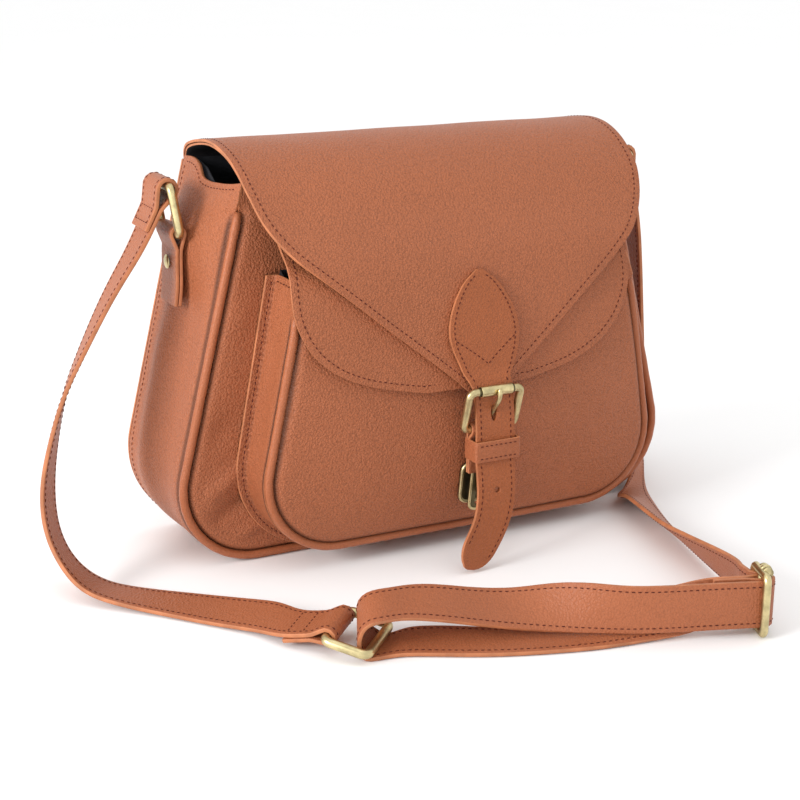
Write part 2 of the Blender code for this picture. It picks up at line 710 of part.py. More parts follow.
def make_roller():
    mesh = bpy.data.meshes.new("buckle_roller")
    bm = bmesh.new()
    inner = BUCKLE_WIRE + GAP
    middle = inner + ROLLER_WALL / 2
    bmesh.ops.create_cone(bm, segments=20, radius1=middle, radius2=middle, depth=ROLLER_LENGTH,
                          cap_ends=False)
    bm.to_mesh(mesh)
    bm.free()
    mesh.shade_smooth()
    mesh.transform(Matrix.Rotation(math.pi / 2, 4, "Y"))
    roller = solidify(add_part("buckle_roller", mesh, "brass"), ROLLER_WALL)
    roller.location = (FRONT_OFFSET, *ROLLER_BAR)


def make_prong():
    """A ring of wire round the heel bar, and a shank that lies over the roller."""
    loop = BUCKLE_WIRE + GAP + PRONG_LOOP_WIRE
    thin = PRONG_LOOP_WIRE / PRONG_WIRE
    points = []
    for step in range(11):
        angle = math.radians(-165 + 280 * step / 10)
        points.append((FRONT_OFFSET, HEEL_BAR[0] + loop * math.cos(angle),
                       HEEL_BAR[1] + loop * math.sin(angle)))
    swells = [thin] * len(points)
    start = points[-1]
    tip_y = ROLLER_BAR[0] - BUCKLE_WIRE - GAP - ROLLER_WALL - GAP - PRONG_WIRE
    for ahead, above, swell in PRONG_SHARES:
        points.append((FRONT_OFFSET, start[1] + ahead * (tip_y - start[1]),
                       start[2] + above * (ROLLER_BAR[1] - start[2])))
        swells.append(swell)
    origin = (FRONT_OFFSET, *HEEL_BAR)
    wire("buckle_prong", points, PRONG_WIRE, "brass", origin=origin, swells=swells)


def make_chape():
    """The loop of leather that holds the buckle's heel bar, with a slot for the prong."""
    loop = BUCKLE_WIRE + GAP + CHAPE / 2
    back_y = KEEPER_BACK - GAP - CHAPE / 2
    front_y = back_y - CHAPE - GAP
    y, z = HEEL_BAR
    straight = z - 1.6 * loop
    path = [(back_y, CHAPE_BOTTOM), (back_y, straight)]
    for step in range(9):
        angle = math.radians(-40 + 265 * step / 8)
        path.append((y + loop * math.cos(angle), z + loop * math.sin(angle)))
    path += [(front_y, straight), (front_y, CHAPE_BOTTOM)]
    stations = [(Vector((FRONT_OFFSET, a, b)), Vector((1, 0, 0)), CLOSURE_WIDTH / 2)
                for a, b in path]
    chape = strip("buckle_chape", stations, CHAPE, "leather", MAIN_HINGE)
    bottom = z - loop - PRONG_LOOP_WIRE - 2 * GAP
    size = (2 * (PRONG_LOOP_WIRE + 2 * GAP), 4 * loop, 3 * loop)
    centre = (FRONT_OFFSET, y, bottom + size[2] / 2)
    boolean(chape, cutter("chape_slot", size, centre), "DIFFERENCE")


def make_keeper():
    half_x = CLOSURE_WIDTH / 2 + GAP
    half_y = (KEEPER_BACK - KEEPER_FRONT) / 2
    inner = rounded_box(half_x, half_y, GAP / 2, 1)
    outer = rounded_box(half_x + KEEPER_WALL, half_y + KEEPER_WALL, KEEPER_WALL)
    place = Matrix.Translation((FRONT_OFFSET, (KEEPER_BACK + KEEPER_FRONT) / 2,
                                FLAP_TIP - KEEPER_DROP))
    keeper = plate("strap_keeper", (outer, inner), KEEPER_HEIGHT, "leather", place)
    set_origin(keeper, MAIN_HINGE)


def lock_surface():
    """Y of the lock's back at its middle, clear of the pocket at its foot, middle and top."""
    reach = LOCK_HEIGHT / 2 * math.cos(LOCK_TILT)
    places = []
    for share in (-1, 0, 1):
        z = LOCK_CENTRE_HEIGHT + share * reach
        front = pocket_plane(z) - pocket_swell(FRONT_OFFSET, z)
        places.append(front + share * reach * math.tan(LOCK_TILT))
    return min(places) - 2 * GAP


def lock_place(out, up):
    """Matrix that sets a plate on the lock's tilted axis: out from the pocket, up along it."""
    centre = Matrix.Translation((FRONT_OFFSET, lock_surface(), LOCK_CENTRE_HEIGHT))
    turn = Matrix.Rotation(math.pi / 2 + LOCK_TILT, 4, "X")
    return centre @ turn @ Matrix.Translation((0, up, out))


def eyelet_out():
    """How far the eyelet's front stands off the pocket: its top lies behind the chape."""
    drop = (EYELET_TOP - LOCK_CENTRE_HEIGHT) * math.tan(LOCK_TILT)
    return (lock_surface() - drop - KEEPER_BACK) * math.cos(LOCK_TILT)


def make_lock():
    outline = rounded_box(LOCK_WIDTH / 2, LOCK_HEIGHT / 2, LOCK_CORNER)
    plate("lock_plate", (outline,), LOCK_THICKNESS, "brass", lock_place(LOCK_THICKNESS / 2, 0))
    outer = rounded_box(EYELET_WIDTH / 2, EYELET_HEIGHT / 2, LOCK_CORNER)
    above = (EYELET_TOP - LOCK_CENTRE_HEIGHT) / math.cos(LOCK_TILT) - EYELET_HEIGHT / 2
    corner = EYELET_SLOT_WIDTH / 4
    slot = rounded_box(EYELET_SLOT_WIDTH / 2, EYELET_SLOT_HEIGHT / 2, corner)
    slot = [(x, z - above - EYELET_SLOT_DROP) for x, z in slot]
    eyelet = plate("lock_eyelet", (outer, slot), EYELET_THICKNESS, "brass",
                   lock_place(eyelet_out() - EYELET_THICKNESS / 2, above))
    set_origin(eyelet, MAIN_HINGE)
    make_toggle(LOCK_THICKNESS + GAP, eyelet_out() + 2 * GAP)


def make_toggle(foot, head_back):
    """A turning post with a bar for a head: one solid, turned about its own axis."""
    length = head_back + TOGGLE_THICKNESS / 2 - foot
    mesh = bpy.data.meshes.new("lock_toggle")
    bm = bmesh.new()
    bmesh.ops.create_cone(bm, segments=16, radius1=TOGGLE_POST, radius2=TOGGLE_POST,
                          depth=length, cap_ends=True)
    bm.to_mesh(mesh)
    bm.free()
    mesh.transform(lock_place(foot + length / 2, 0))
    toggle = add_part("lock_toggle", mesh, "brass")
    head = rounded_box(TOGGLE_WIDTH / 2, TOGGLE_LENGTH / 2, TOGGLE_WIDTH / 4)
    bar = plate("toggle_bar", (head,), TOGGLE_THICKNESS, "brass",
                lock_place(head_back + TOGGLE_THICKNESS / 2, 0))
    boolean(toggle, bar, "UNION", keep_tool=False)
    apply_modifiers(toggle)
    bpy.data.objects.remove(bar, do_unlink=True)
    set_origin(toggle, lock_place(foot, 0).translation)


def make_side(side, label):
    """Tab, rivet and ring of one side; side is -1 on the left."""
    loop = RING_WIRE + GAP + TAB_LEATHER / 2
    ring_x, ring_z = RING_LOW

    def inner_x(z):
        return tab_side(z) + 2 * GAP + TAB_LEATHER / 2
    step_out = TAB_LEATHER + GAP
    path = [(inner_x(z), z) for z in (TAB_BOTTOM, (TAB_BOTTOM + TAB_MERGE) / 2, TAB_MERGE)]
    for step in range(9):
        angle = math.radians(210 - 240 * step / 8)
        path.append((ring_x + loop * math.cos(angle), ring_z + loop * math.sin(angle)))
    path += [(inner_x(z) + step_out, z)
             for z in (TAB_MERGE, (TAB_BOTTOM + TAB_MERGE) / 2, TAB_BOTTOM)]
    stations = [(Vector((side * x, SIDE_CENTRE, z)), Vector((0, 1, 0)), TAB_WIDTH / 2)
                for x, z in path]
    strip("side_tab_" + label, stations, TAB_LEATHER, "leather")
    make_rivet(side, label, inner_x(RIVET_HEIGHT) + step_out + TAB_LEATHER / 2 + 3 * GAP)
    low = Vector((side * ring_x, SIDE_CENTRE, ring_z))
    high = Vector((side * RING_HIGH[0], SIDE_CENTRE, RING_HIGH[1]))
    up = (high - low).normalized()
    centre = (low + high) / 2
    outline = rounded_box(RING_HALF, (high - low).length / 2, RING_CORNER)
    points = [centre + Vector((0, x, 0)) + up * y for x, y in outline]
    wire("side_ring_" + label, points, RING_WIRE, "brass", closed=True, origin=low)


def make_rivet(side, label, x):
    mesh = bpy.data.meshes.new("tab_rivet_" + label)
    bm = bmesh.new()
    bmesh.ops.create_cone(bm, segments=20, radius1=RIVET_RADIUS, radius2=RIVET_RADIUS / 2,
                          depth=RIVET_THICKNESS, cap_ends=True)
    bm.to_mesh(mesh)
    bm.free()
    turn = Matrix.Rotation(side * math.pi / 2, 4, "Y")
    centre = Vector((side * (x + RIVET_THICKNESS / 2), SIDE_CENTRE, RIVET_HEIGHT))
    mesh.transform(Matrix.Translation(centre) @ turn)
    add_part("tab_rivet_" + label, mesh, "brass")


def width_line(turn, lift):
    turn, lift = math.radians(turn), math.radians(lift)
    return Vector((math.sin(turn) * math.cos(lift), -math.cos(turn) * math.cos(lift),
                   math.sin(lift)))


def smooth_route(route, steps=2):
    """Stations along a Catmull-Rom curve through a route."""
    stations = []
    last = len(route) - 1
    for index in range(last):
        p0, p1, p2, p3 = (route[min(max(index + k, 0), last)] for k in (-1, 0, 1, 2))
        for step in range(steps):
            t = step / steps
            values = [(2 * b + (c - a) * t + (2 * a - 5 * b + 4 * c - d) * t ** 2
                       + (3 * b - a - 3 * c + d) * t ** 3) / 2
                      for a, b, c, d in zip(p0, p1, p2, p3)]
            stations.append(values)
    stations.append(route[last])
    return [(Vector(v[:3]), width_line(v[3], v[4]), STRAP_WIDTH / 2) for v in stations]


def fold(centre, away, side, across, radius, end=STRAP_FOLD_END):
    """Stations of a strap end folded round a bar: its end lies on the given side.

    Away points from the bar along the strap, side to the folded end, across along the bar.
    """
    spread = (STRAP_LEATHER + GAP) / 2
    places = [(end, spread), ((end + 2 * radius) / 2, spread), (2.2 * radius, spread)]
    for step in range(9):
        angle = math.radians(60 + 240 * step / 8)
        places.append((radius * math.cos(angle), radius * math.sin(angle)))
    places += [(2.2 * radius, -spread), ((end + 2 * radius) / 2, -spread), (end, -spread)]
    return [(centre + away * p + side * q, across, STRAP_WIDTH / 2) for p, q in places]


def arc(centre, start, finish, radius, steps, first, last, across):
    """Stations on a turn from one direction toward another, angles in degrees between them."""
    stations = []
    for step in range(steps + 1):
        angle = math.radians(first + (last - first) * step / steps)
        reach = start * (radius * math.cos(angle)) + finish * (radius * math.sin(angle))
        stations.append((centre + reach, across, STRAP_WIDTH / 2))
    return stations


def side_fold(side, hang):
    """Fold of the shoulder strap over the top bar of a side ring."""
    away = Vector(hang).normalized()
    out = Vector((side * abs(away.z), 0, abs(away.x)))
    drop = STRAP_FOLD - STRAP_LEATHER / 2 - RING_WIRE - 2.5 * GAP
    bar = Vector((side * RING_HIGH[0], SIDE_CENTRE, RING_HIGH[1]))
    return fold(bar + away * drop, away, out, Vector((0, -1, 0)), STRAP_FOLD)


def make_short_strap():
    along = Vector(STRAP_RING_ALONG).normalized()
    across = Vector(STRAP_RING_ACROSS).normalized()
    bar = Vector(STRAP_RING_CENTRE) - along * STRAP_RING_LENGTH / 2
    away = Vector((-0.60, 0.78, -0.20))
    away = (away - across * away.dot(across)).normalized()
    under = away.cross(across)
    if under.z > 0:
        under.negate()
    end = fold(bar, away, under, -across, SLIDER_FOLD + GAP)
    end.reverse()
    stations = side_fold(-1, LEFT_HANG) + smooth_route(SHORT_ROUTE) + end
    strip("short_strap", stations, STRAP_LEATHER, "leather")


def make_strap_ring():
    along = Vector(STRAP_RING_ALONG).normalized()
    across = Vector(STRAP_RING_ACROSS).normalized()
    across = (across - along * across.dot(along)).normalized()
    centre = Vector(STRAP_RING_CENTRE)
    outline = rounded_box(STRAP_RING_LENGTH / 2, STRAP_RING_WIDTH / 2, STRAP_RING_CORNER)
    points = [centre + along * x + across * y for x, y in outline]
    origin = centre - along * STRAP_RING_LENGTH / 2
    wire("strap_ring", points, RING_WIRE, "brass", closed=True, origin=origin)


def make_long_strap():
    up = Vector((0, 0, 1))
    along = Vector(SLIDER_ALONG).normalized()
    back = up.cross(along)
    slider = Vector(SLIDER_CENTRE)
    start = fold(slider, -along, -back, up, SLIDER_FOLD)
    ring_along = Vector(STRAP_RING_ALONG)
    ring_along.z = 0
    ring_along.normalize()
    across = Vector(STRAP_RING_ACROSS).normalized()
    bar = Vector(STRAP_RING_CENTRE) + Vector(STRAP_RING_ALONG).normalized() * STRAP_RING_LENGTH / 2
    lift = RING_LOOP - RING_WIRE - STRAP_LEATHER / 2 - 1.5 * GAP
    loop = arc(bar + up * lift, -up, -ring_along, RING_LOOP, 9, 0, 180, across)
    outer = SLIDER_FOLD + STRAP_LEATHER + 1.5 * GAP
    rear_bar = slider + back * slider_pitch()
    turn = arc(slider, -back, along, outer, 8, 0, 180, up)
    leave = arc(rear_bar, -back, -along, slider_pitch() - outer, 3, 30, 90, up)
    stations = (start + smooth_route(LOWER_ROUTE) + loop + smooth_route(UPPER_ROUTE)
                + turn + leave + smooth_route(REAR_ROUTE))
    last = side_fold(1, RIGHT_HANG)
    last.reverse()
    strip("long_strap", stations + last, STRAP_LEATHER, "leather")


def slider_pitch():
    """Distance between the slider's bars: two layers of strap pass between them."""
    return SLIDER_FOLD + STRAP_LEATHER + 1.5 * GAP + STRAP_LEATHER / 2 + GAP + RING_WIRE


def make_slider():
    up = Vector((0, 0, 1))
    along = Vector(SLIDER_ALONG).normalized()
    back = up.cross(along)
    centre = Vector(SLIDER_CENTRE)
    outline = rounded_box(slider_pitch(), SLIDER_HALF, SLIDER_CORNER)
    points = [centre + back * x + up * y for x, y in outline]
    frame = as_mesh(wire("strap_slider", points, RING_WIRE, "brass", closed=True))
    ends = (centre - up * SLIDER_HALF, centre + up * SLIDER_HALF)
    bar = as_mesh(wire("slider_bar", ends, RING_WIRE, "brass"))
    boolean(frame, bar, "UNION", keep_tool=False)
    apply_modifiers(frame)
    bpy.data.objects.remove(bar, do_unlink=True)
    frame.data.shade_smooth()


def main():
    clear_scene()
    new_collection(COLLECTION_NAME)
    new_collection("cutters")
    make_body()
    make_linings()
    make_pocket()
    make_flap("main_flap", MAIN_FLAP_SHARES, MAIN_HINGE, FLAP_REACH, FLAP_DROP, FLAP_HALF,
              FRONT_OFFSET)
    make_flap("pocket_flap", POCKET_FLAP_SHARES, POCKET_HINGE, POCKET_FLAP_REACH,
              POCKET_FLAP_DROP, POCKET_FLAP_HALF, 0)
    make_flap_root("flap_root", MAIN_HINGE, FLAP_HALF, 1)
    make_flap_root("pocket_flap_root", POCKET_HINGE, POCKET_FLAP_HALF, -1)
    make_closure_strap()
    make_buckle()
    make_lock()
    for side, label in ((-1, "left"), (1, "right")):
        make_side(side, label)
    make_short_strap()
    make_strap_ring()
    make_long_strap()
    make_slider()


main()
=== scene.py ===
"""Looks of the leather crossbody bag: leather shells, piping, linings, stitching and hardware."""
import math

import bmesh
import bpy
import numpy as np
from mathutils import Matrix, Vector, noise


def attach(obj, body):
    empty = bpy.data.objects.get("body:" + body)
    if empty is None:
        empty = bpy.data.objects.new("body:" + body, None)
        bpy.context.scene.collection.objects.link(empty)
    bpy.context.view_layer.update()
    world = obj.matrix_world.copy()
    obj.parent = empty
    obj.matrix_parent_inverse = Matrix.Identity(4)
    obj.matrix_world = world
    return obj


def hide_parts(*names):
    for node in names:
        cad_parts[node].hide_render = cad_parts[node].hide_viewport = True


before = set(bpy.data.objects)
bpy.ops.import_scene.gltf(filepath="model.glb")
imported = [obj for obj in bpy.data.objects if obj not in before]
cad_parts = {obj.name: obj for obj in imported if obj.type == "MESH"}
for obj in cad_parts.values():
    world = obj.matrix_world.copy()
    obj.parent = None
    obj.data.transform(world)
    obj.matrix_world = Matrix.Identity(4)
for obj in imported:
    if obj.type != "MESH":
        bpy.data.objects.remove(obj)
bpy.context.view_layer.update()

bl_info = {
    "name": "Leather Crossbody Bag",
    "version": (1, 0, 0),
    "blender": (4, 5, 0),
    "location": "3D View > Sidebar > Bag",
    "description": "Dresses a crossbody bag in grained leather, thread and antique brass",
    "category": "Object",
}

MM = 0.001
UP = Vector((0, 0, 1))
RIGHT = Vector((1, 0, 0))
BACKWARD = Vector((0, 1, 0))

# Sizes that the solids have too, in millimetres
FRONT = (151.0, 43.0, math.radians(14), 0.0)
BACK = (157.0, 49.0, math.radians(14), 0.0)
POCKET = (119.0, 42.6, math.radians(11), 9.5)
BODY_TOP = 205.0
BACK_TOP = 208.6
BODY_PLANE = 35.0
GUSSET_DEPTH = 72
POCKET_LIP = 154.5
POCKET_DEPTH = 27
SHIFT = 4.0
BODY_PIPING_TOP = 190.0
POCKET_PIPING_TOP = 141.0
PIPING = 2.3
PLAY = 0.3

# Thickness of the leathers and linings and how they lie, in millimetres
LEATHER = 2.0
STRAP = 2.2
STRAP_HALF = 12.0
STRAP_FOLD = 24.0
FLAP_LEATHER = 1.4
FLAP_LIFT = 0.9
FLAP_BACKING = 1.2
BACKING_LIFT = -0.8
CLOSURE_LEATHER = 2.0
CHAPE_LEATHER = 1.6
KEEPER_LEATHER = 1.4
TAB_LEATHER = 1.8
LINING = 0.7

# How the panels lie to their seams, in millimetres, where their seams open, and where the painted
# shade in the creases beside their piping lies and ends
PANEL_INSET = 3.2
OPEN_REACH = 2.0
MOUTH_RISE = 2.5
SEAM_CREASE = 5.2
CREASE_WIDTH = 1.2
FRONT_OPEN = (2.885, 2.93)
POCKET_OPEN = (2.81, 2.86)
FRONT_CREASE_END = (184, 190)
POCKET_CREASE_END = (135, 141)

# Pitch and length of the finer stitches, and how the thread lies, in millimetres
FINE_STITCH = (2.7, 1.9)
CROSS_STITCH = (2.8, 2.0)
STITCH_SHARE = 0.78
THREAD = 0.33
THREAD_LIFT = 0.05

# The closure strap, its chape and its keeper, in millimetres
CLOSURE_WIDTH = 22.8
PRONG_HOLE = ((SHIFT, -92.4, 83.9), (3.4, 12, 8.4))
TAIL_HOLE = ((4.4, -97.2, 42.5), (3, 12, 3))
LEAF_FOOT = 106
CHAPE_HALF = 11.6
CHAPE_FOOT = 50
CHAPE_LAYERS = (-85.4, -87.3)
CHAPE_SLOT = (2.8, 12.8, 9.6)
CHAPE_SLOT_Z = 75.2
KEEPER_X = 5.6
KEEPER_HALF = 12.2
KEEPER_FRONT = -95.0
KEEPER_BACK = -84.3
KEEPER_Z = 58.2
KEEPER_HEIGHT = 11.2
KEEPER_STITCHES = (60.2, 67.2)

# The buckle, in millimetres
ROLLER_BAR = (-95.0, 97.0)
HEEL_BAR = (-88.0, 75.0)
HEEL_RADIUS = 2.1
BUCKLE_HALF = 15.2
BUCKLE_CORNER = 3.2
BUCKLE_WIRE = 2.15
ROLLER = 2.65
ROLLER_LENGTH = 18.5
ROLLER_WALL = 0.5
ROLLER_GAP_X = 9.9
ROLLER_GAP_HALF = 0.55
ROLLER_GAP = 2.35
PRONG_WIRE = 1.3
PRONG_LOOP = 3.2
PRONG_SLIM = 0.62
PRONG_TIP = (-99.5, 97)
PRONG_SHAPE = ((0.3, 0.36, 0.85), (0.88, 0.74, 0.95), (1.0, 1.0, 1.0), (0.97, 1.08, 0.7))

# The lock, in millimetres: loops hold a half width, a half height and a corner
LOCK_Z = 41.0
LOCK_TILT = math.radians(10)
LOCK_PLATE = (10.9, 12.7, 5.5)
LOCK_PLATE_RIM = (10, 11.8, 4.8)
EYELET = (6.8, 16.3, 4.5)
EYELET_RIM = (6.1, 15.6, 3.8)
EYELET_SLOT = (2.7, 9.25, 1.35)
EYELET_HANG = (-84.3, 58)
TOGGLE_BAR = (2, 5.5, 1.6)
TOGGLE_FOOT = 1.8
LOCK_POST = 1.5

# The side tabs, their rings and rivets, in millimetres
RING_LOW = (136.5, 176.0)
RING_HIGH = (140.5, 201.0)
RING_WIRE = 2.45
RING_HALF = 14.9
RING_CORNER = 3.6
SIDE_CENTRE = 4.5
TAB_HALF = 12.0
TAB_FOOT = 138.0
TAB_TIP = 168.0
RIVET_Z = 160
RIVET = (3.8, 3.8, 1.3)

# The strap's ring and slider, in millimetres
STRAP_RING_HALF = 11
STRAP_RING_HEIGHT = 15
STRAP_RING_CORNER = 3.4
SLIDER_HALF = 14.6
SLIDER_CORNER = 2.4
SLIDER_WIRE = 2.05
SLIDER_BAR = 1.6
SLIDER_BAR_HALF = 14.45
SLIDER_EYES = ((14.9, 1.0), (-14.2, 0.86))
SLIDER_COLLARS = ((-2.6, 2.75), (0.0, 3.1), (2.6, 2.75))

# Colours of the painted shade in the seam creases, the closure strap, the board and the floor
CREASE_SHADE_TINT = 0.26
CLOSURE_TINT = (0.94, 0.86, 0.7, 1)
BOARD_COLOUR = (0.2, 0.15, 0.1, 1)
FLOOR_COLOUR = (0.94, 0.94, 0.94, 1)

# The studio, in metres, watts and degrees
FLOOR_SIZE = 300
SKY = 1.06
LIGHT_TARGET = (0, 0, 0.1)
LIGHTS = (("key_light", (-1.7, -0.38, 0.7), 0.6, 25), ("top_light", (-0.3, -0.3, 1.6), 0.9, 1.5))
CAMERA_PLACE = (-0.385, -0.7687, 0.3296)
CAMERA_TURN = (72.95, 0, -26.31)
CAMERA_LENS = 69.8
CAMERA_SENSOR = 36

# Soft folds: a line from x, z to x, z, its width and its depth
FRONT_FOLDS = (
    ((-143, 34, -104, 62), 5.0, 1.5), ((-139, 22, -98, 46), 4.5, -1.7),
    ((-128, 10, -92, 30), 4.0, 1.0), ((-140, 70, -112, 84), 6.0, -0.7),
    ((-132, 120, -104, 150), 8.0, 0.7), ((143, 36, 106, 60), 5.0, 1.3),
    ((138, 24, 100, 44), 4.5, -1.5))
BACK_FOLDS = (
    ((-120, 40, -60, 80), 9.0, 1.2), ((90, 50, 130, 100), 9.0, -1.0),
    ((-30, 150, 60, 165), 10.0, 0.9))

# Rise of the gusset's open edge, from the front to the back
GUSSET_TOP = (
    (0, 0), (0.12, -1.6), (0.25, -2.6), (0.42, -3.2), (0.52, -2.6), (0.585, -1.2), (0.63, 1.6),
    (0.68, 4.2), (0.76, 5.8), (0.86, 6.4), (1, 5.6))

# Flaps, leaf and straps along their courses, in millimetres
MAIN_FLAP_ROWS = (
    (37.65, 204, 116), (37.65, 210, 117), (33, 215, 118), (26, 217.8, 118), (14, 220, 118),
    (0, 220.8, 118), (-14, 219.2, 118), (-26, 215, 117.5), (-36, 208.5, 117), (-45.5, 199.5, 116),
    (-54.5, 187.5, 112.5), (-62.5, 177, 106.5), (-69, 168, 98.5), (-73, 158, 86.5),
    (-74.8, 145, 70.5), (-75.6, 130, 52.5), (-75.9, 115, 34), (-76, 102, 18.5), (-76.2, 94, 10),
    (-76.2, 91, 5))
POCKET_FLAP_ROWS = (
    (-37.65, 187, 92), (-38, 184, 94), (-40.5, 180.5, 96), (-46.5, 177, 98), (-54, 172.5, 99),
    (-61, 166.5, 99), (-66.5, 160, 99.5), (-69.3, 152, 100), (-71, 142, 99.5), (-72, 131, 96),
    (-72.2, 120, 89), (-72.3, 110, 77), (-72.3, 102, 58), (-72.3, 96, 30))
LEAF_ROWS = (
    (158, 1.2), (152, 8.9), (147, 12.6), (143, 15.0), (136, 18.0), (129, 19.6), (123, 19.6),
    (117, 18.4), (112, 16.6), (106, 14.6))
TAIL_ROUTE = (
    (4.2, -88.9, 100.5), (4.7, -90.8, 96.5), (5, -92.1, 86), (5, -93.3, 75), (5, -93.5, 65),
    (5, -93.7, 57), (4.8, -95.3, 50), (3.7, -97.8, 39), (0, -100, 26.5), (-8, -102.3, 14),
    (-17.4, -103.6, 3.4))
SHORT_ROUTE = (
    (-158, 2, 167.3, -1, 3), (-173, 1, 145.4, -4, 7), (-187, -1, 121.8, -8, 10),
    (-200, -4, 97.9, -14, 14), (-209, -9, 73.8, -21, 18), (-215, -15, 51.1, -28, 21),
    (-216, -23, 31.2, -31, 22), (-211, -34, 15.7, -35, 19), (-201, -45, 5.6, -42, 10),
    (-185, -61, 3.0, -44, 3), (-168, -78, 2.7, -47, -3), (-151, -98, 3.8, -49, -9),
    (-134, -118, 5.6, -50, -13))
LOWER_ROUTE = (
    (45, -213.5, 13.2, 176, 66), (21, -205, 8.2, 170, 34), (-4, -199, 3.0, 167, 7),
    (-28, -192, 2.6, 164, 5), (-49, -184, 2.7, 156, 6), (-67, -175, 3.1, 150, 8),
    (-84, -166.5, 3.1, 143, 7))
UPPER_ROUTE = (
    (-83, -164, 22.2, 150, 16), (-68, -169, 20.6, 160, 21), (-49, -174, 16.7, 159, 23),
    (-31, -180, 14.5, 155, 30), (-15, -189, 15.7, 152, 51), (-2, -200, 17.3, 153, 75),
    (12, -210, 17.4, 158, 88), (30, -217.5, 17.3, 160, 89), (51, -224.5, 17.2, 160, 89))
REAR_ROUTE = (
    (80, -210, 16.3, 247, 84), (86, -200, 15.3, 250, 76), (91, -182, 13.7, 251, 65),
    (96, -155, 11.5, 254, 53), (102, -125, 9.5, 256, 41), (109, -96, 8.5, 254, 36),
    (117, -70, 7.2, 258, 27), (125, -50.5, 3.6, 275, 8), (138, -34.3, 4.6, 299, 7),
    (151.3, -18, 13.0, 314, 6), (156.5, -9, 30.0, 334, 4), (157, -3, 54.0, 349, 4),
    (157, 1, 82.0, 355, 3), (156, 3, 106.0, 357, 0), (154.5, 4, 130.0, 358, 0),
    (152, 4.5, 154.0, 360, 0))
RING_CENTRE = Vector((-105.7, -158.2, 8.4))
RING_ALONG = Vector((0.68, -0.71, -0.19)).normalized()
RING_ACROSS = Vector((0.73, 0.68, 0.09)).normalized()
SLIDER_CENTRE = Vector((76.9, -227.2, 17.0))
SLIDER_ALONG = Vector((0.94, -0.34, 0)).normalized()
SLIDER_BACK = UP.cross(SLIDER_ALONG)
SLIDER_FOLD = 3.2
SLIDER_PITCH = SLIDER_FOLD + STRAP + 0.45 + STRAP / 2 + 0.3 + 1.7


class Socket:
    """A shader socket that takes part in sums: the operators add Math nodes."""

    def __init__(self, paint, socket):
        self.paint = paint
        self.socket = socket

    def math(self, operation, first, second):
        return self.paint.node("ShaderNodeMath", {"operation": operation}, {0: first, 1: second})

    def __add__(self, other):
        return self.math("ADD", self, other)

    def __radd__(self, other):
        return self.math("ADD", other, self)

    def __sub__(self, other):
        return self.math("SUBTRACT", self, other)

    def __rsub__(self, other):
        return self.math("SUBTRACT", other, self)

    def __mul__(self, other):
        return self.math("MULTIPLY", self, other)

    def __rmul__(self, other):
        return self.math("MULTIPLY", other, self)


class Paint:
    """A material on a Principled shader, built node by node."""

    def __init__(self, name, roughness=0.5, metallic=0.0):
        self.material = bpy.data.materials.new(name)
        self.material.use_nodes = True
        self.tree = self.material.node_tree
        self.shader = self.tree.nodes["Principled BSDF"]
        self.shader.inputs["Roughness"].default_value = roughness
        self.shader.inputs["Metallic"].default_value = metallic
        coordinates = self.tree.nodes.new("ShaderNodeTexCoord")
        self.place = Socket(self, coordinates.outputs["Object"])

    def node(self, kind, settings=None, sockets=None, output=0):
        """Any node: its settings first, then its sockets' values or links."""
        node = self.tree.nodes.new(kind)
        for key, value in (settings or {}).items():
            if key == "stops":
                self.set_stops(node.color_ramp, value)
            else:
                setattr(node, key, value)
        for key, value in (sockets or {}).items():
            if isinstance(value, Socket):
                self.tree.links.new(value.socket, node.inputs[key])
            else:
                node.inputs[key].default_value = value
        return Socket(self, node.outputs[output])

    def set_stops(self, ramp, stops):
        while len(ramp.elements) < len(stops):
            ramp.elements.new(0.5)
        for element, (position, colour) in zip(ramp.elements, stops):
            element.position = position
            element.color = colour

    def noise(self, scale, detail, roughness=0.5):
        return self.node("ShaderNodeTexNoise", {}, {
            "Vector": self.place, "Scale": scale, "Detail": detail, "Roughness": roughness})

    def waves(self, scale, direction, distortion):
        return self.node("ShaderNodeTexWave", {"bands_direction": direction}, {
            "Vector": self.place, "Scale": scale, "Distortion": distortion})

    def mix(self, first, second, share):
        """A mix of two colours by a value."""
        settings = {"data_type": "RGBA"}
        return self.node("ShaderNodeMix", settings, {0: share, 6: first, 7: second}, output=2)

    def ramp(self, value, stops):
        grey = [(position, (level, level, level, 1)) for position, level in stops]
        return self.node("ShaderNodeValToRGB", {"stops": grey}, {0: value})

    def feed(self, name, value):
        self.tree.links.new(value.socket, self.shader.inputs[name])

    def bump(self, height, strength, distance):
        normal = self.node("ShaderNodeBump", {}, {
            "Strength": strength, "Distance": distance, "Height": height})
        self.feed("Normal", normal)


def tint(colour, factor):
    """A colour made lighter or darker, with its alpha kept."""
    return tuple(min(channel * factor, 1) for channel in colour[:3]) + (1,)


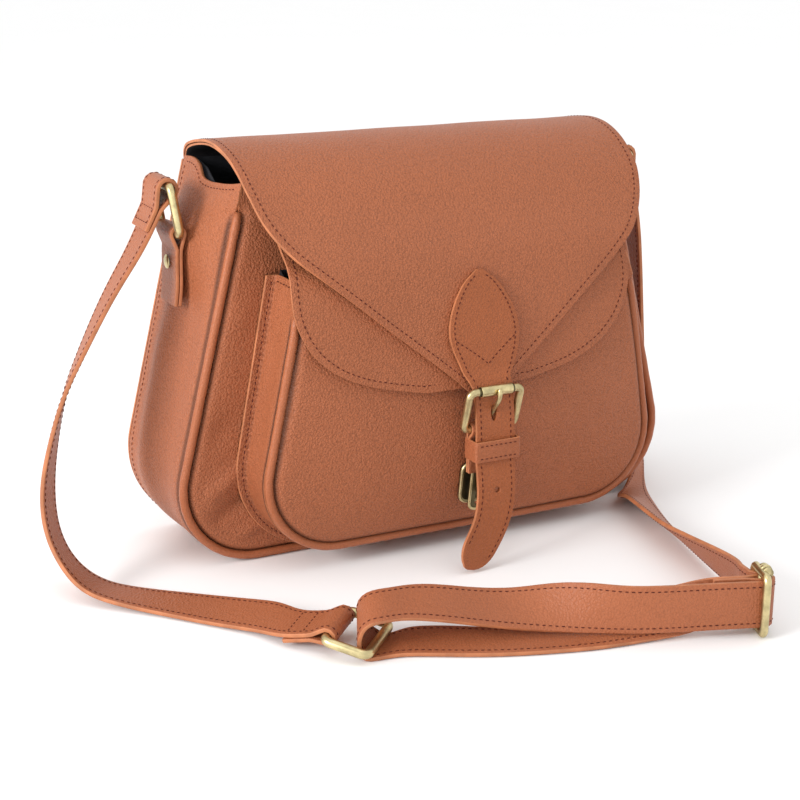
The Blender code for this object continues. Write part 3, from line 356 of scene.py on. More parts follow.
def leather_paint(name, colour, grain_scale, grain_depth, roughness, contrast=1.0):
    """Soft pebbled leather: fine grain, faint creases, tone that drifts over the hide, painted
    shade in the grain's hollows and the seam creases, painted highlight on the grain's crests.
    """
    paint = Paint(name, roughness)
    warp = paint.noise(grain_scale * 0.6, 2)
    place = paint.node("ShaderNodeVectorMath", {"operation": "MULTIPLY_ADD"}, {
        0: warp, 1: (0.0012, 0.0012, 0.0012), 2: paint.place})
    pebbles = paint.node("ShaderNodeTexVoronoi", {}, {"Vector": place, "Scale": grain_scale})
    fine = paint.noise(grain_scale * 2.3, 3)
    drift = paint.noise(9, 3, 0.55)
    creases = paint.noise(110, 5, 0.65)
    height = 0.9 - pebbles * 0.9 + fine * 0.5 + creases * 0.8
    paint.bump(height, 0.75, grain_depth)
    tone = paint.ramp(drift, ((0.3, 0), (0.7, 1)))
    body = paint.mix(tint(colour, 0.88), tint(colour, 1.1), tone)
    # Painted shade in the hollows between the pebbles and painted highlight on the grain's crests,
    # so that the grain shows under any light.
    hollows = paint.ramp(pebbles, ((0.3, 0), (0.85, 0.55)))
    hollow_shaded = paint.mix(body, tint(colour, 1 - 0.44 * contrast), hollows)
    crests = paint.ramp(fine, ((0.42, 0), (0.72, 0.8)))
    crest_lit = paint.mix(hollow_shaded, tint(colour, 1 + 0.4 * contrast), crests)
    # Painted shade: the leather is darkened along the seam creases by the mesh attribute that the
    # shells carry.
    crease = paint.node("ShaderNodeAttribute", {"attribute_name": "crease"}, output=2)
    paint.feed("Base Color", paint.mix(crest_lit, tint(colour, CREASE_SHADE_TINT), crease))
    paint.feed("Roughness", roughness - 0.06 + 0.14 * fine)
    paint.shader.inputs["Specular IOR Level"].default_value = 0.26
    return paint.material


def edge_paint(name, colour):
    """Cut and dyed edge of the leather: fibres and layers show."""
    paint = Paint(name, 0.62)
    fibres = paint.noise(900, 4, 0.7)
    paint.bump(fibres, 0.5, 0.00015)
    share = paint.ramp(paint.noise(120, 2), ((0.35, 0), (0.65, 1)))
    paint.feed("Base Color", paint.mix(tint(colour, 0.82), tint(colour, 1.12), share))
    return paint.material


def thread_paint(name, colour):
    """Twisted thread."""
    paint = Paint(name, 0.6)
    twist = paint.waves(900.0, "DIAGONAL", 0.6)
    paint.bump(twist, 0.6, 0.0001)
    paint.feed("Base Color", paint.mix(tint(colour, 0.7), tint(colour, 1.25), twist))
    paint.shader.inputs["Specular IOR Level"].default_value = 0.12
    return paint.material


def lining_paint(name, colour):
    """Dark plain-woven lining."""
    paint = Paint(name, 0.85)
    rows = paint.waves(420.0, "Z", 0.2)
    columns = paint.waves(420.0, "X", 0.2)
    weave = rows * columns
    paint.bump(weave, 0.4, 0.0002)
    paint.feed("Base Color", paint.mix(tint(colour, 0.7), tint(colour, 1.5), weave))
    return paint.material


def brass_paint(name, colour, roughness=0.26):
    """Antique brass: pale where it is rubbed, brown in its hollows."""
    paint = Paint(name, roughness, 1.0)
    cloud = paint.noise(160, 4, 0.6)
    scuff = paint.noise(1400, 2, 0.5)
    tarnish = paint.ramp(cloud, ((0.36, 0.0), (0.68, 1.0)))
    paint.feed("Base Color", paint.mix(tint(colour, 0.62), colour, tarnish))
    paint.feed("Roughness", roughness + 0.18 * scuff - 0.06 * tarnish)
    paint.bump(scuff * 0.5 + cloud, 0.12, 0.0002)
    return paint.material


def floor_paint(name, colour):
    """Plain pale ground."""
    paint = Paint(name, 0.75)
    paint.feed("Base Color", paint.mix(tint(colour, 0.985), colour, paint.noise(3, 2)))
    return paint.material


FINISHES = {}


def finish(name):
    """The materials, made once from the bag's colours."""
    if not FINISHES:
        colours = bpy.context.scene.bag_colours
        sizes = bpy.context.scene.bag_sizes
        leather = tuple(colours.leather) + (1,)
        deep = tuple(a * b for a, b in zip(leather, CLOSURE_TINT))
        brass = tuple(colours.brass) + (1,)
        grain = 1 / sizes.grain
        # The piping's leather is a lighter copy of the panels' leather: painted highlight on the
        # cord.
        cord = tint(leather, 1.05)
        FINISHES.update({
            "leather": leather_paint("tan_leather", leather, grain, 0.0008, 0.45),
            "strap": leather_paint("strap_leather", leather, grain, 0.00045, 0.4, 0.55),
            "closure": leather_paint("closure_leather", deep, grain, 0.0005, 0.42, 0.75),
            "piping": leather_paint("piping_leather", cord, grain, 0.0003, 0.36, 0.5),
            "edge": edge_paint("cut_edge", tuple(colours.edge) + (1,)),
            "thread": thread_paint("maroon_thread", tuple(colours.thread) + (1,)),
            "lining": lining_paint("dark_lining", tuple(colours.lining) + (1,)),
            "board": edge_paint("base_board", BOARD_COLOUR),
            "brass": brass_paint("antique_brass", brass),
            # Dark brass: the real dark metal of the lock's plate and eyelet, and the painted shade
            # in the gaps at the roller's ends.
            "brass_dark": brass_paint("tarnished_brass_and_gap_shade", tint(brass, 0.2), 0.34),
            "floor": floor_paint("pale_floor", FLOOR_COLOUR),
        })
    return FINISHES[name]


def smooth(value, low, high):
    """A soft step: 0 up to low, 1 from high on."""
    share = min(max((value - low) / (high - low), 0), 1)
    return share * share * (3 - 2 * share)


def catmull(rows, steps):
    """Points of a smooth curve through rows of numbers."""
    last = len(rows) - 1
    points = []
    for index in range(last):
        p = [rows[min(max(index + k, 0), last)] for k in (-1, 0, 1, 2)]
        for step in range(steps):
            t = step / steps
            points.append([
                (2 * b + (c - a) * t + (2 * a - 5 * b + 4 * c - d) * t ** 2
                 + (3 * b - a - 3 * c + d) * t ** 3) / 2 for a, b, c, d in zip(*p)])
    points.append(list(rows[last]))
    return points


def deselect():
    """Leave no piece selected."""
    for obj in list(bpy.context.selected_objects):
        obj.select_set(False)


def activate(obj):
    """Select one piece alone and make it the active one."""
    deselect()
    obj.select_set(True)
    bpy.context.view_layer.objects.active = obj


def apply_all(obj):
    """Apply a piece's modifiers in their order."""
    activate(obj)
    for modifier in list(obj.modifiers):
        bpy.ops.object.modifier_apply(modifier=modifier.name)


def thicken(obj, thickness, even=False, rim=0):
    """Give a surface its wall, half to each side; rim is the place of the edge's material."""
    shell = obj.modifiers.new("Thickness", "SOLIDIFY")
    shell.thickness = thickness * MM
    shell.offset = 0
    shell.use_even_offset = even
    shell.material_offset_rim = rim


def round_edges(obj, width, segments=3, degrees=60):
    """Round the edges that are sharper than an angle."""
    edges = obj.modifiers.new("Rounded edges", "BEVEL")
    edges.width = width * MM
    edges.segments = segments
    edges.limit_method = "ANGLE"
    edges.angle_limit = math.radians(degrees)


def sized(size):
    """Matrix that gives a unit shape its size in millimetres."""
    return Matrix.Diagonal((*[width * MM for width in size], 1))


def moved(place):
    """Matrix that moves a shape to its place in millimetres."""
    return Matrix.Translation(Vector(place) * MM)


def bore(obj, tool, matrix):
    """Take a tool's shape, put in its place by the matrix, out of a piece."""
    tool.data.transform(matrix)
    modifier = obj.modifiers.new("Hole", "BOOLEAN")
    modifier.operation = "DIFFERENCE"
    modifier.object = tool
    apply_all(obj)
    bpy.data.objects.remove(tool, do_unlink=True)


def curve_mesh(name, curve, matrix=None):
    """Turn a curve into a mesh, put it in its place and weld it."""
    obj = bpy.data.objects.new(name, curve)
    bpy.context.scene.collection.objects.link(obj)
    activate(obj)
    bpy.ops.object.convert(target="MESH")
    obj = bpy.context.object
    if matrix:
        obj.data.transform(matrix)
    weld(obj)
    return obj


def dress(obj, *paints):
    """Give a piece its materials, the first for its faces and the next for its edge."""
    obj.data.materials.clear()
    for paint in paints:
        obj.data.materials.append(finish(paint))


def carry(obj, body, nodes):
    """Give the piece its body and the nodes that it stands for."""
    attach(obj, body)
    if nodes:
        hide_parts(*nodes)
    return obj


def grid(name, columns, rows, place):
    """A grid primitive, laid out by place(u, v), both from 0 to 1, in millimetres."""
    deselect()
    bpy.ops.mesh.primitive_grid_add(x_subdivisions=columns, y_subdivisions=rows, size=1)
    obj = bpy.context.object
    obj.name = name
    obj.data.name = name
    for vert in obj.data.vertices:
        vert.co = Vector(place(vert.co.x + 0.5, vert.co.y + 0.5)) * MM
    return obj


def mark_crease_shade(obj, crease):
    """Keep how deep each point lies in a crease, from its place in millimetres, for the painted
    shade there.
    """
    values = [min(crease(*(vert.co / MM)), 1) for vert in obj.data.vertices]
    obj.data.attributes.new("crease", "FLOAT", "POINT").data.foreach_set("value", values)


def bell(distance, width):
    """1 on a line, and softly down to 0 beside it."""
    return math.exp(-(distance / width) ** 2)


def leather_sheet(name, columns, rows, place, thickness=LEATHER, paint="leather", rim=0.45):
    """A leather sheet with its real thickness and softly rounded cut edges."""
    obj = grid(name, columns, rows, place)
    dress(obj, paint, "edge")
    thicken(obj, thickness, True, 1)
    round_edges(obj, rim)
    apply_all(obj)
    obj.data.shade_smooth()
    return obj


def tube(name, points, radius, closed=False, swells=None, paint="brass", sides=4):
    """A round wire or piping, made from a curve and then a mesh."""
    curve = bpy.data.curves.new(name, "CURVE")
    curve.dimensions = "3D"
    curve.bevel_depth = radius * MM
    curve.bevel_resolution = sides
    curve.use_fill_caps = True
    spline = curve.splines.new("POLY")
    spline.points.add(len(points) - 1)
    for index, point in enumerate(points):
        spline.points[index].co = (*(Vector(point) * MM), 1)
        spline.points[index].radius = swells[index] if swells else 1
    spline.use_cyclic_u = closed
    obj = curve_mesh(name, curve)
    dress(obj, paint)
    obj.data.shade_smooth()
    return obj


def weld(obj):
    """Merge doubled points and turn the faces outwards."""
    activate(obj)
    bpy.ops.object.mode_set(mode="EDIT")
    bpy.ops.mesh.select_all(action="SELECT")
    bpy.ops.mesh.remove_doubles(threshold=0.00001)
    bpy.ops.mesh.normals_make_consistent(inside=False)
    bpy.ops.object.mode_set(mode="OBJECT")


def spaced(first, last, steps):
    """Values from first to last in even steps."""
    return [first + (last - first) * k / steps for k in range(steps + 1)]


def turned(centre, radius, first, last, steps):
    """Places round a centre, from one angle in degrees to another."""
    return [(centre[0] + radius * math.cos(angle), centre[1] + radius * math.sin(angle))
            for angle in map(math.radians, spaced(first, last, steps))]


def round_loop(half_x, half_y, corner, steps=8):
    """Places round a rectangle with round corners."""
    points = []
    for quarter, (side_x, side_y) in enumerate(((1, 1), (-1, 1), (-1, -1), (1, -1))):
        for step in range(steps + 1):
            angle = math.pi / 2 * (quarter + step / steps)
            points.append((side_x * (half_x - corner) + corner * math.cos(angle),
                           side_y * (half_y - corner) + corner * math.sin(angle)))
    return points


def wire_ring(name, centre, across, up, loop, radius):
    """A closed ring of round wire, its loop laid out across and up from its centre."""
    points = [centre + across * x + up * y for x, y in loop]
    return tube(name, points, radius, closed=True, sides=6)


def join(objects, name):
    """Make one piece of several."""
    activate(objects[0])
    for obj in objects[1:]:
        obj.select_set(True)
    bpy.ops.object.join()
    obj = bpy.context.object
    obj.name = name
    obj.data.name = name
    return obj


def rim_point(outline, t, inset, top):
    """Half outline of a bag: t 0 to 1 along its bottom, to 2 round its corner, to 3 up its side.

    An outline holds its half width, the radius of its corner, its lean and its base.
    """
    half, corner, lean, base = outline
    centre_x, centre_z, radius = half - corner, base + corner, corner - inset
    if t <= 1:
        return centre_x * t, base + inset
    angle = (math.pi / 2 + lean) * (min(t, 2) - 1) - math.pi / 2
    x = centre_x + radius * math.cos(angle)
    z = centre_z + radius * math.sin(angle)
    climb = max(t - 2, 0) * (top - z)
    return x - climb * math.tan(lean), z + climb


def rim_distance(outline, x, z):
    """How far a point of a panel lies from the panel's seam."""
    half, corner, lean, base = outline
    px, pz = abs(x) - (half - corner), z - (base + corner)
    side = corner - (px * math.cos(lean) + pz * math.sin(lean))
    angle = math.atan2(pz, px)
    if px > 0 and -math.pi / 2 < angle < lean:
        return corner - math.hypot(px, pz)
    return min(side, z - base)


def fold_line(x, z, line, width):
    """A soft fold along a line from one point to another: 1 on it, 0 away from it."""
    x0, z0, x1, z1 = line
    length = math.hypot(x1 - x0, z1 - z0)
    ax, az = (x1 - x0) / length, (z1 - z0) / length
    along = ((x - x0) * ax + (z - z0) * az) / length
    away = (x - x0) * az - (z - z0) * ax
    taper = math.sin(math.pi * min(max(along, 0), 1))
    return bell(away, width) * taper


def dense(u, power=1.7):
    """A column's place from -1 to 1, with more columns towards both edges."""
    place = 2 * u - 1
    return math.copysign(1 - (1 - abs(place)) ** power, place)


def mixed(first, second, share):
    """Values part of the way from the first ones to the second ones."""
    return tuple(a + (b - a) * share for a, b in zip(first, second))


def body_outline(share):
    """Outline of the body at a share of its depth, from front to back."""
    return mixed(FRONT, BACK, share)


def body_bulge(z, share):
    """How far the gusset stands out between its two seams."""
    pull = bell(z - 172, 22)
    rise = smooth(z, 42, 92)
    return (1.2 * rise + 7.8 * pull) * (1 - (2 * share - 1) ** 2)


def soft(x, y, z, depth, size):
    """A slow unevenness, as of soft leather over its stuffing."""
    return depth * noise.noise(Vector((x, y, z)) / size)


def pocket_plane(z):
    """Where the pocket's front lies: it leans out, and back in near its lip."""
    if z <= 130:
        return -65 - 5 * z / 130
    return -70 + 6 * min((z - 130) / 28, 1) ** 2


def pocket_swell(x, z):
    """How far the stuffed pocket stands out of its plane."""
    half, _, _, base = POCKET
    height = (z - base) / 148.5
    across = abs(x - SHIFT) / half
    if height <= 0 or height >= 1 or across >= 1:
        return 0.0
    return 10.3 * math.sin(math.pi * height ** 0.75) ** 1.3 * (1 - across ** 2) ** 0.8


def signed_t(u):
    """Where a column lies on the whole outline, and on which side."""
    position = (2 * u - 1) * 3
    return (1 if position >= 0 else -1), abs(position)


class Path:
    """Rows of numbers along a curve, read by arc length over their first columns."""

    def __init__(self, rows, steps=1, space=3):
        self.rows = np.array(catmull(rows, steps) if steps > 1 else rows, float)
        gaps = np.linalg.norm(np.diff(self.rows[:, :space], axis=0), axis=1)
        self.at = np.concatenate(([0], np.cumsum(gaps)))
        self.length = float(self.at[-1])

    def read(self, distance):
        return [float(np.interp(distance, self.at, self.rows[:, k]))
                for k in range(self.rows.shape[1])]


class Flap:
    """A flap's surface: s runs from its fold to its tip, x across it."""

    def __init__(self, rows, shift):
        self.path = Path(rows, 6, 2)
        self.shift = shift
        self.length = self.path.length

    def half(self, s):
        return self.path.read(s)[2]

    def point(self, s, x, lift=0.0):
        y, z, _ = self.path.read(s)
        y1, z1, _ = self.path.read(max(s - 1.5, 0))
        y2, z2, _ = self.path.read(min(s + 1.5, self.length))
        size = math.hypot(y2 - y1, z2 - z1)
        y += lift * (z2 - z1) / size
        z -= lift * (y2 - y1) / size
        x += self.shift * min(s / 100, 1)
        lap = soft(x, y, z + 300, 0.7, 34) * min(s / 40, 1)
        return Vector((x, y - pocket_swell(x, z) - lap * smooth(-y, 20, 60), z
                       + 0.8 * lap * smooth(y, -60, 0)))


def flap_sheet(name, flap, lift, thickness, paint, rim, columns=72, rows=84, trim=0.0):
    """One leather of a flap, at its lift over the flap's surface."""
    def place(u, v):
        s = v * (flap.length - trim)
        return flap.point(s, (2 * u - 1) * max(flap.half(s) - trim, 1.0), lift)
    return leather_sheet(name, columns, rows, place, thickness, paint, rim)


def width_line(turn, lift):
    """Direction across a strap, from its turn about Z and its lift in degrees."""
    turn, lift = math.radians(turn), math.radians(lift)
    return Vector((math.sin(turn) * math.cos(lift), -math.cos(turn) * math.cos(lift),
                   math.sin(lift)))


def routed(route):
    """Stations of a strap along a route."""
    return [(Vector(row[:3]), width_line(row[3], row[4]), STRAP_HALF)
            for row in catmull(route, 6)]


def fold(centre, away, side, across, radius):
    """Stations of a strap end folded round a bar, from its end to where the strap leaves."""
    spread = (STRAP + PLAY) / 2
    places = [(p, spread) for p in spaced(STRAP_FOLD, 2.2 * radius, 6)]
    places += turned((0, 0), radius, 60, 300, 20)
    places += [(p, -spread) for p in spaced(2.2 * radius, STRAP_FOLD, 6)]
    return [(centre + away * p + side * q, across, STRAP_HALF) for p, q in places]


def arc(centre, start, end, radius, steps, first, last, across):
    """Stations of a strap round a bar: start and end are the directions at 0 and 90 degrees."""
    return [(centre + (start * p + end * q), across, STRAP_HALF)
            for p, q in turned((0, 0), radius, first, last, steps)]


def eased(stations, holds, spread=16, step=1.5):
    """Smooth a strap's stations along it, but for where it is folded round a bar."""
    rows = [tuple(c) + tuple(w) + (h,) for c, w, h in stations]
    path = Path(rows)
    count = int(path.length / step)
    table = np.array([path.read(path.length * k / count) for k in range(count + 1)])
    free = np.ones(len(table))
    for centre, inner, outer in holds:
        away = np.linalg.norm(table[:, :3] - np.array(centre), axis=1)
        free = np.minimum(free, np.clip((away - inner) / (outer - inner), 0, 1))
    free[[0, -1]] = 0
    for _ in range(spread * 2):
        mean = (table[:-2] + 2 * table[1:-1] + table[2:]) / 4
        table[1:-1] += (mean - table[1:-1]) * free[1:-1, None]
    return [(Vector(row[:3]), Vector(row[3:6]).normalized(), float(row[6])) for row in table]


class Strip:
    """A strap's surface along its stations: s along it, t across it from -1 to 1."""

    def __init__(self, stations):
        rows = [tuple(c) + tuple(w * h) for c, w, h in stations]
        self.path = Path(rows)
        self.length = self.path.length

    def point(self, s, t, lift=0.0):
        row = self.path.read(s)
        across = Vector(row[3:6])
        point = Vector(row[:3]) + across * t
        if lift:
            ahead = self.path.read(min(s + 1, self.length))
            behind = self.path.read(max(s - 1, 0))
            along = Vector(ahead[:3]) - Vector(behind[:3])
            point += across.cross(along).normalized() * lift
        return point


def strip_sheet(name, strip, thickness, paint, rim, step, columns=6):
    """The leather of a strap, with a row of faces at every step along it."""
    rows = max(int(strip.length / step), 4)

    def place(u, v):
        return strip.point(v * strip.length, 2 * u - 1)
    return leather_sheet(name, columns, rows, place, thickness, paint, rim)


STITCHES = {}


def add_stitches(body, points, normals, pitch=None, length=2.1):
    """Lay stitches along a line of points, each pressed a little into the leather."""
    pitch = pitch or bpy.context.scene.bag_sizes.stitch / MM
    path = [Vector(point) for point in points]
    gaps = [0.0]
    for before, after in zip(path, path[1:]):
        gaps.append(gaps[-1] + (after - before).length)
    count = int(gaps[-1] / pitch)
    frames = STITCHES.setdefault(body, [])
    rows = np.array([tuple(point) + tuple(normal) for point, normal in zip(path, normals)])
    for index in range(count):
        at = (index + 0.5) * gaps[-1] / max(count, 1)
        row = [np.interp(at, gaps, rows[:, k]) for k in range(6)]
        ends = [Vector([np.interp(at + d, gaps, rows[:, k]) for k in range(3)]) for d in (-1, 1)]
        along = (ends[1] - ends[0]).normalized()
        normal = Vector(row[3:6]).normalized()
        side = normal.cross(along).normalized()
        normal = along.cross(side)
        turn = Matrix((along * length / 2, side * THREAD, normal * THREAD)).transposed()
        frames.append((turn, Vector(row[:3])))


def stitch_row(body, points, normal, *stitch):
    """Stitches along a line of points that all face the same way."""
    add_stitches(body, points, [Vector(normal)] * len(points), *stitch)


def stitch_places(body, strip, places, lift, *stitch):
    """Stitches through places s, t of a strap, on the side that lift's sign gives."""
    points = [strip.point(s, t, lift) for s, t in places]
    flat = [strip.point(s, t) for s, t in places]
    add_stitches(body, points, [(a - b).normalized() for a, b in zip(points, flat)], *stitch)


def stitch_strip(body, strip, t, lift, start, end):
    """A row of stitches along a strap."""
    steps = max(int((end - start) / 2), 2)
    stitch_places(body, strip, [(s, t) for s in spaced(start, end, steps)], lift)


def stitch_across(body, strip, s):
    """A row of stitches across a strap, on both of its sides."""
    places = [(s, STITCH_SHARE * (2 * k / 6 - 1)) for k in range(7)]
    for side in (1, -1):
        stitch_places(body, strip, places, side * (STRAP / 2 + THREAD_LIFT), *CROSS_STITCH)


def folds_at(x, z, folds):
    """How far the soft folds push a panel out."""
    return 1.5 * sum(depth * fold_line(x, z, line, width) for line, width, depth in folds)


def back_lift(x, z):
    """How far the back panel stands out of its plane."""
    inner = min(rim_distance(BACK, x, z) / 12, 1)
    return inner * (folds_at(x, z, BACK_FOLDS) + soft(x, 0, z, 1.0, 60))


def ditch(distance):
    """How deep a panel dips beside its piping."""
    return 3.2 * bell(max(distance - 4.4, 0), 2.4)


def gusset_rise(v):
    """How far the gusset's open edge stands above the body's top."""
    return float(np.interp(v, *zip(*GUSSET_TOP)))


def seam_crease(outline, x, z):
    """How deep a panel's point lies in the crease beside its piping, where its shade is painted.
    """
    return bell(rim_distance(outline, x, z) - SEAM_CREASE, CREASE_WIDTH)


def make_body_shell():
    """Back, front and gusset of the bag."""
    def back(u, v):
        x, z = rim_point(BACK, 1 + 2 * v, 0, BACK_TOP)
        x *= dense(u, 1.3)
        return x, BODY_PLANE + back_lift(x, z), z
    shell = leather_sheet("back_leather", 72, 52, back)
    carry(shell, "bag", ["back_panel"])

    def front(u, v):
        t = 1 + 2 * v
        open_end = smooth(t, *FRONT_OPEN)
        x, z = rim_point(FRONT, t, PANEL_INSET - OPEN_REACH * open_end, BODY_TOP)
        x *= dense(u)
        away = rim_distance(FRONT, x, z)
        inner = min(max(away - 6, 0) / 10, 1)
        y = -BODY_PLANE + ditch(away) * (1 - open_end)
        y -= inner * (folds_at(x, z, FRONT_FOLDS) + soft(x, 7, z, 0.9, 45))
        return x, y, z
    shell = leather_sheet("front_leather", 120, 80, front)
    # Painted shade in the crease beside the front piping.
    mark_crease_shade(shell, lambda x, y, z: (
        seam_crease(FRONT, x, z) * (1 - smooth(z, *FRONT_CREASE_END))))
    carry(shell, "bag", ["front_panel"])
    shell = leather_sheet("gusset_leather", 260, 40, gusset_place)
    # Painted shade in the creases beside the gusset's front and back seams.
    mark_crease_shade(shell, lambda x, y, z: (
        bell(y + 30.4, 1.1) * (1 - smooth(z, *FRONT_CREASE_END)) + 0.7 * bell(y - 34.2, 0.9)))
    carry(shell, "bag", ["main_gusset"])
    root = leather_sheet("flap_root_leather", 60, 4, lambda u, v: (
        236 * (u - 0.5), 37.3, 192.9 + 9.45 * v), 2.0, "leather", 0.7)
    carry(root, "bag", ["flap_root"])


def gusset_place(u, v):
    """The gusset: puckered along its seams, with a soft ridge down each side."""
    side, t = signed_t(u)
    open_end = smooth(t, *FRONT_OPEN)
    rise = gusset_rise(v) * smooth(t, 2.6, 3)
    x, z = rim_point(body_outline(v), t, LEATHER / 2, BODY_TOP + rise)
    near = -31.1 - 4.9 * open_end
    y = near + (33.4 - near) * v
    if t > 2:
        x += body_bulge(z, v)
    climb = smooth(t, 1.2, 2.1)
    middle = 4 * v * (1 - v)
    ridge = bell(v - 0.68 + 0.05 * noise.noise(Vector((side, 0, z / 60))), 0.13)
    dent = bell(v - 0.3, 0.2)
    low = 1 - 0.75 * smooth(z, 110, 165)
    x += climb * low * (3.2 * ridge - 2.4 * dent) * middle
    x -= 1.3 * math.exp(-v * GUSSET_DEPTH / 2.8) * (1 - open_end) * climb
    x += soft(side * 40, y, z, 0.9, 26) * middle
    along = t * 75
    pucker = noise.noise(Vector((side * 9, 0, along / 4.2))) * 0.55
    seams = math.exp(-v * GUSSET_DEPTH / 5) + math.exp(-(1 - v) * GUSSET_DEPTH / 6)
    x += pucker * climb * seams * middle ** 0.3
    creases = noise.noise(Vector((side * 5, y / 16, z / 5))) * bell(z - 182, 16)
    x += 0.7 * creases * middle
    return side * x, y, z


def outline_line(outline, inset, top, y_at, centre, count):
    """Points along an outline, from its left top round its bottom to its right top."""
    points = []
    for index in range(-count, count + 1):
        t = abs(index) / count * 3
        x, z = rim_point(outline, t, inset, top)
        points.append(Vector((centre + math.copysign(x, index) if index else centre, y_at(z), z)))
    return points


def piping(name, outline, top, y_at, centre, nodes):
    """A cord along a seam, with rounded ends."""
    points = outline_line(outline, PIPING + 0.3, top, y_at, centre, 90)
    swells = []
    for index in range(len(points)):
        end = min(index, len(points) - 1 - index)
        swells.append((0.72, 0.98, 1.04)[end] if end < 3 else 1 + 0.03 * math.sin(index * 1.7))
    obj = tube(name, points, PIPING, swells=swells, paint="piping", sides=5)
    carry(obj, "bag", nodes)


def make_pipings():
    piping("front_piping_cord", FRONT, BODY_PIPING_TOP, lambda z: -33.7, 0.0, ["front_piping"])
    piping("pocket_piping_cord", POCKET, POCKET_PIPING_TOP,
           lambda z: pocket_plane(z) + PIPING, SHIFT, ["pocket_piping"])


def pouch(name, outline_at, top, rise, front_at, back, centre, nodes):
    """A thin lining: a cube without its lid, divided and laid out inside the leather."""
    deselect()
    bpy.ops.mesh.primitive_cube_add(size=1)
    obj = bpy.context.object
    obj.name = name
    bpy.ops.object.mode_set(mode="EDIT")
    bm = bmesh.from_edit_mesh(obj.data)
    bmesh.ops.delete(bm, geom=[f for f in bm.faces if f.normal.z > 0.5], context="FACES_ONLY")
    for axis, count in enumerate((24, 6, 26)):
        edges = [e for e in bm.edges
                 if abs((e.verts[1].co - e.verts[0].co).normalized()[axis]) > 0.5]
        bmesh.ops.subdivide_edges(bm, edges=edges, cuts=count - 1, use_grid_fill=True)
    for vert in bm.verts:
        x, y, z = vert.co
        layer = round((y + 0.5) * 6)
        t = 1 + 2 * (z + 0.5)
        edge = 5.8 - 2.7 * smooth(t, 2.6, 2.95) + (0 if layer else 2.5)
        px, pz = rim_point(outline_at(layer / 6), t, edge, top - 0.8 + rise(layer / 6))
        px = centre + 2 * x * px
        py = front_at(px, pz, layer)
        if layer:
            py += 6
            py += (back - py) * (layer - 1) / 5
        vert.co = Vector((px, py, pz)) * MM
    bmesh.update_edit_mesh(obj.data)
    bpy.ops.object.mode_set(mode="OBJECT")
    dress(obj, "lining")
    thicken(obj, LINING)
    apply_all(obj)
    obj.data.shade_smooth()
    carry(obj, "bag", nodes)


def make_linings():
    """The pouches inside the body and inside the pocket."""
    def raised(share):
        lap = 0.08 + 0.92 * share if share else 0
        half, corner, lean, base = body_outline(lap)
        return half, corner - 1.5, lean, base + 1.5
    pouch("body_lining_cloth", raised, BODY_TOP - 0.6, gusset_rise,
          lambda x, z, layer: -33.3, 33.3, 0.0, ["main_lining"])

    def pocket_front(x, z, layer):
        front = pocket_plane(z) + 3.3
        return front if layer else front - pocket_swell(x, z)
    pouch("pocket_lining_cloth", lambda share: POCKET, POCKET_LIP,
          lambda share: 5 * share ** 2, pocket_front, -36.7, SHIFT, ["pocket_lining"])


def make_pocket():
    """The pocket's front, its gusset with a sewn flange, and the sewn end of its flap."""
    def panel(u, v):
        t = 1 + 2 * v
        open_end = smooth(t, *POCKET_OPEN)
        top = POCKET_LIP + MOUTH_RISE * smooth(abs(dense(u)), 0.86, 0.97)
        x, z = rim_point(POCKET, t, PANEL_INSET - OPEN_REACH * open_end, top)
        x *= dense(u)
        away = rim_distance(POCKET, x, z)
        inner = min(max(away - 6, 0) / 10, 1)
        y = pocket_plane(z) + 1 - pocket_swell(SHIFT + x, z) + ditch(away) * (1 - open_end)
        y -= inner * soft(x, 3, z, 0.8, 40)
        return SHIFT + x, y, z
    front = leather_sheet("pocket_leather", 120, 80, panel)
    # Painted shade in the crease beside the pocket's piping.
    mark_crease_shade(front, lambda x, y, z: (
        seam_crease(POCKET, x - SHIFT, z) * (1 - smooth(z, *POCKET_CREASE_END))))
    carry(front, "bag", ["pocket_panel"])

    def gusset(u, v):
        side, t = signed_t(u)
        share = max(v * 13 - 1, 0) / 12
        open_end = smooth(t, *POCKET_OPEN)
        inset = 1 - 6 * (1 - smooth(v * 13, 0, 1.6))
        x, z = rim_point(POCKET, t, inset, POCKET_LIP + MOUTH_RISE)
        near = pocket_plane(z) + 4.9 - 4.9 * open_end
        y = -37.6 + (near + 37.6) * share
        climb = smooth(t, 1.4, 2.4)
        x -= 1.1 * math.sin(math.pi * share) * climb
        x -= 1.4 * math.exp(-(1 - share) * POCKET_DEPTH / 2.4) * climb * (1 - open_end)
        x += soft(side * 30, y, z, 0.7, 14) * math.sin(math.pi * share) * climb
        return SHIFT + side * x, y, z
    side = leather_sheet("pocket_gusset_leather", 220, 32, gusset)
    # Painted shade in the crease of the pocket's gusset beside its piping.
    mark_crease_shade(side, lambda x, y, z: (
        bell(y - pocket_plane(z) - 5.4, 0.9) * (1 - smooth(z, *POCKET_CREASE_END))))
    carry(side, "bag", ["pocket_gusset"])
    root = leather_sheet("pocket_flap_root_leather", 50, 4, lambda u, v: (
        SHIFT + 200 * (u - 0.5), -37.8, 188.7 + 9.4 * v), 3.0)
    carry(root, "bag", ["pocket_flap_root"])


MAIN_FLAP = Flap(MAIN_FLAP_ROWS, SHIFT)
POCKET_FLAP = Flap(POCKET_FLAP_ROWS, 0.0)


def make_flaps():
    for name, flap in (("main_flap", MAIN_FLAP), ("pocket_flap", POCKET_FLAP)):
        outer = flap_sheet(name + "_leather", flap, FLAP_LIFT, FLAP_LEATHER, "leather", 0.35)
        carry(outer, name, [name + "_outer"])
        inner = flap_sheet(name + "_backing", flap, BACKING_LIFT, FLAP_BACKING, "lining", 0.2,
                           48, 60, 0.6)
        carry(inner, name, [name + "_lining"])


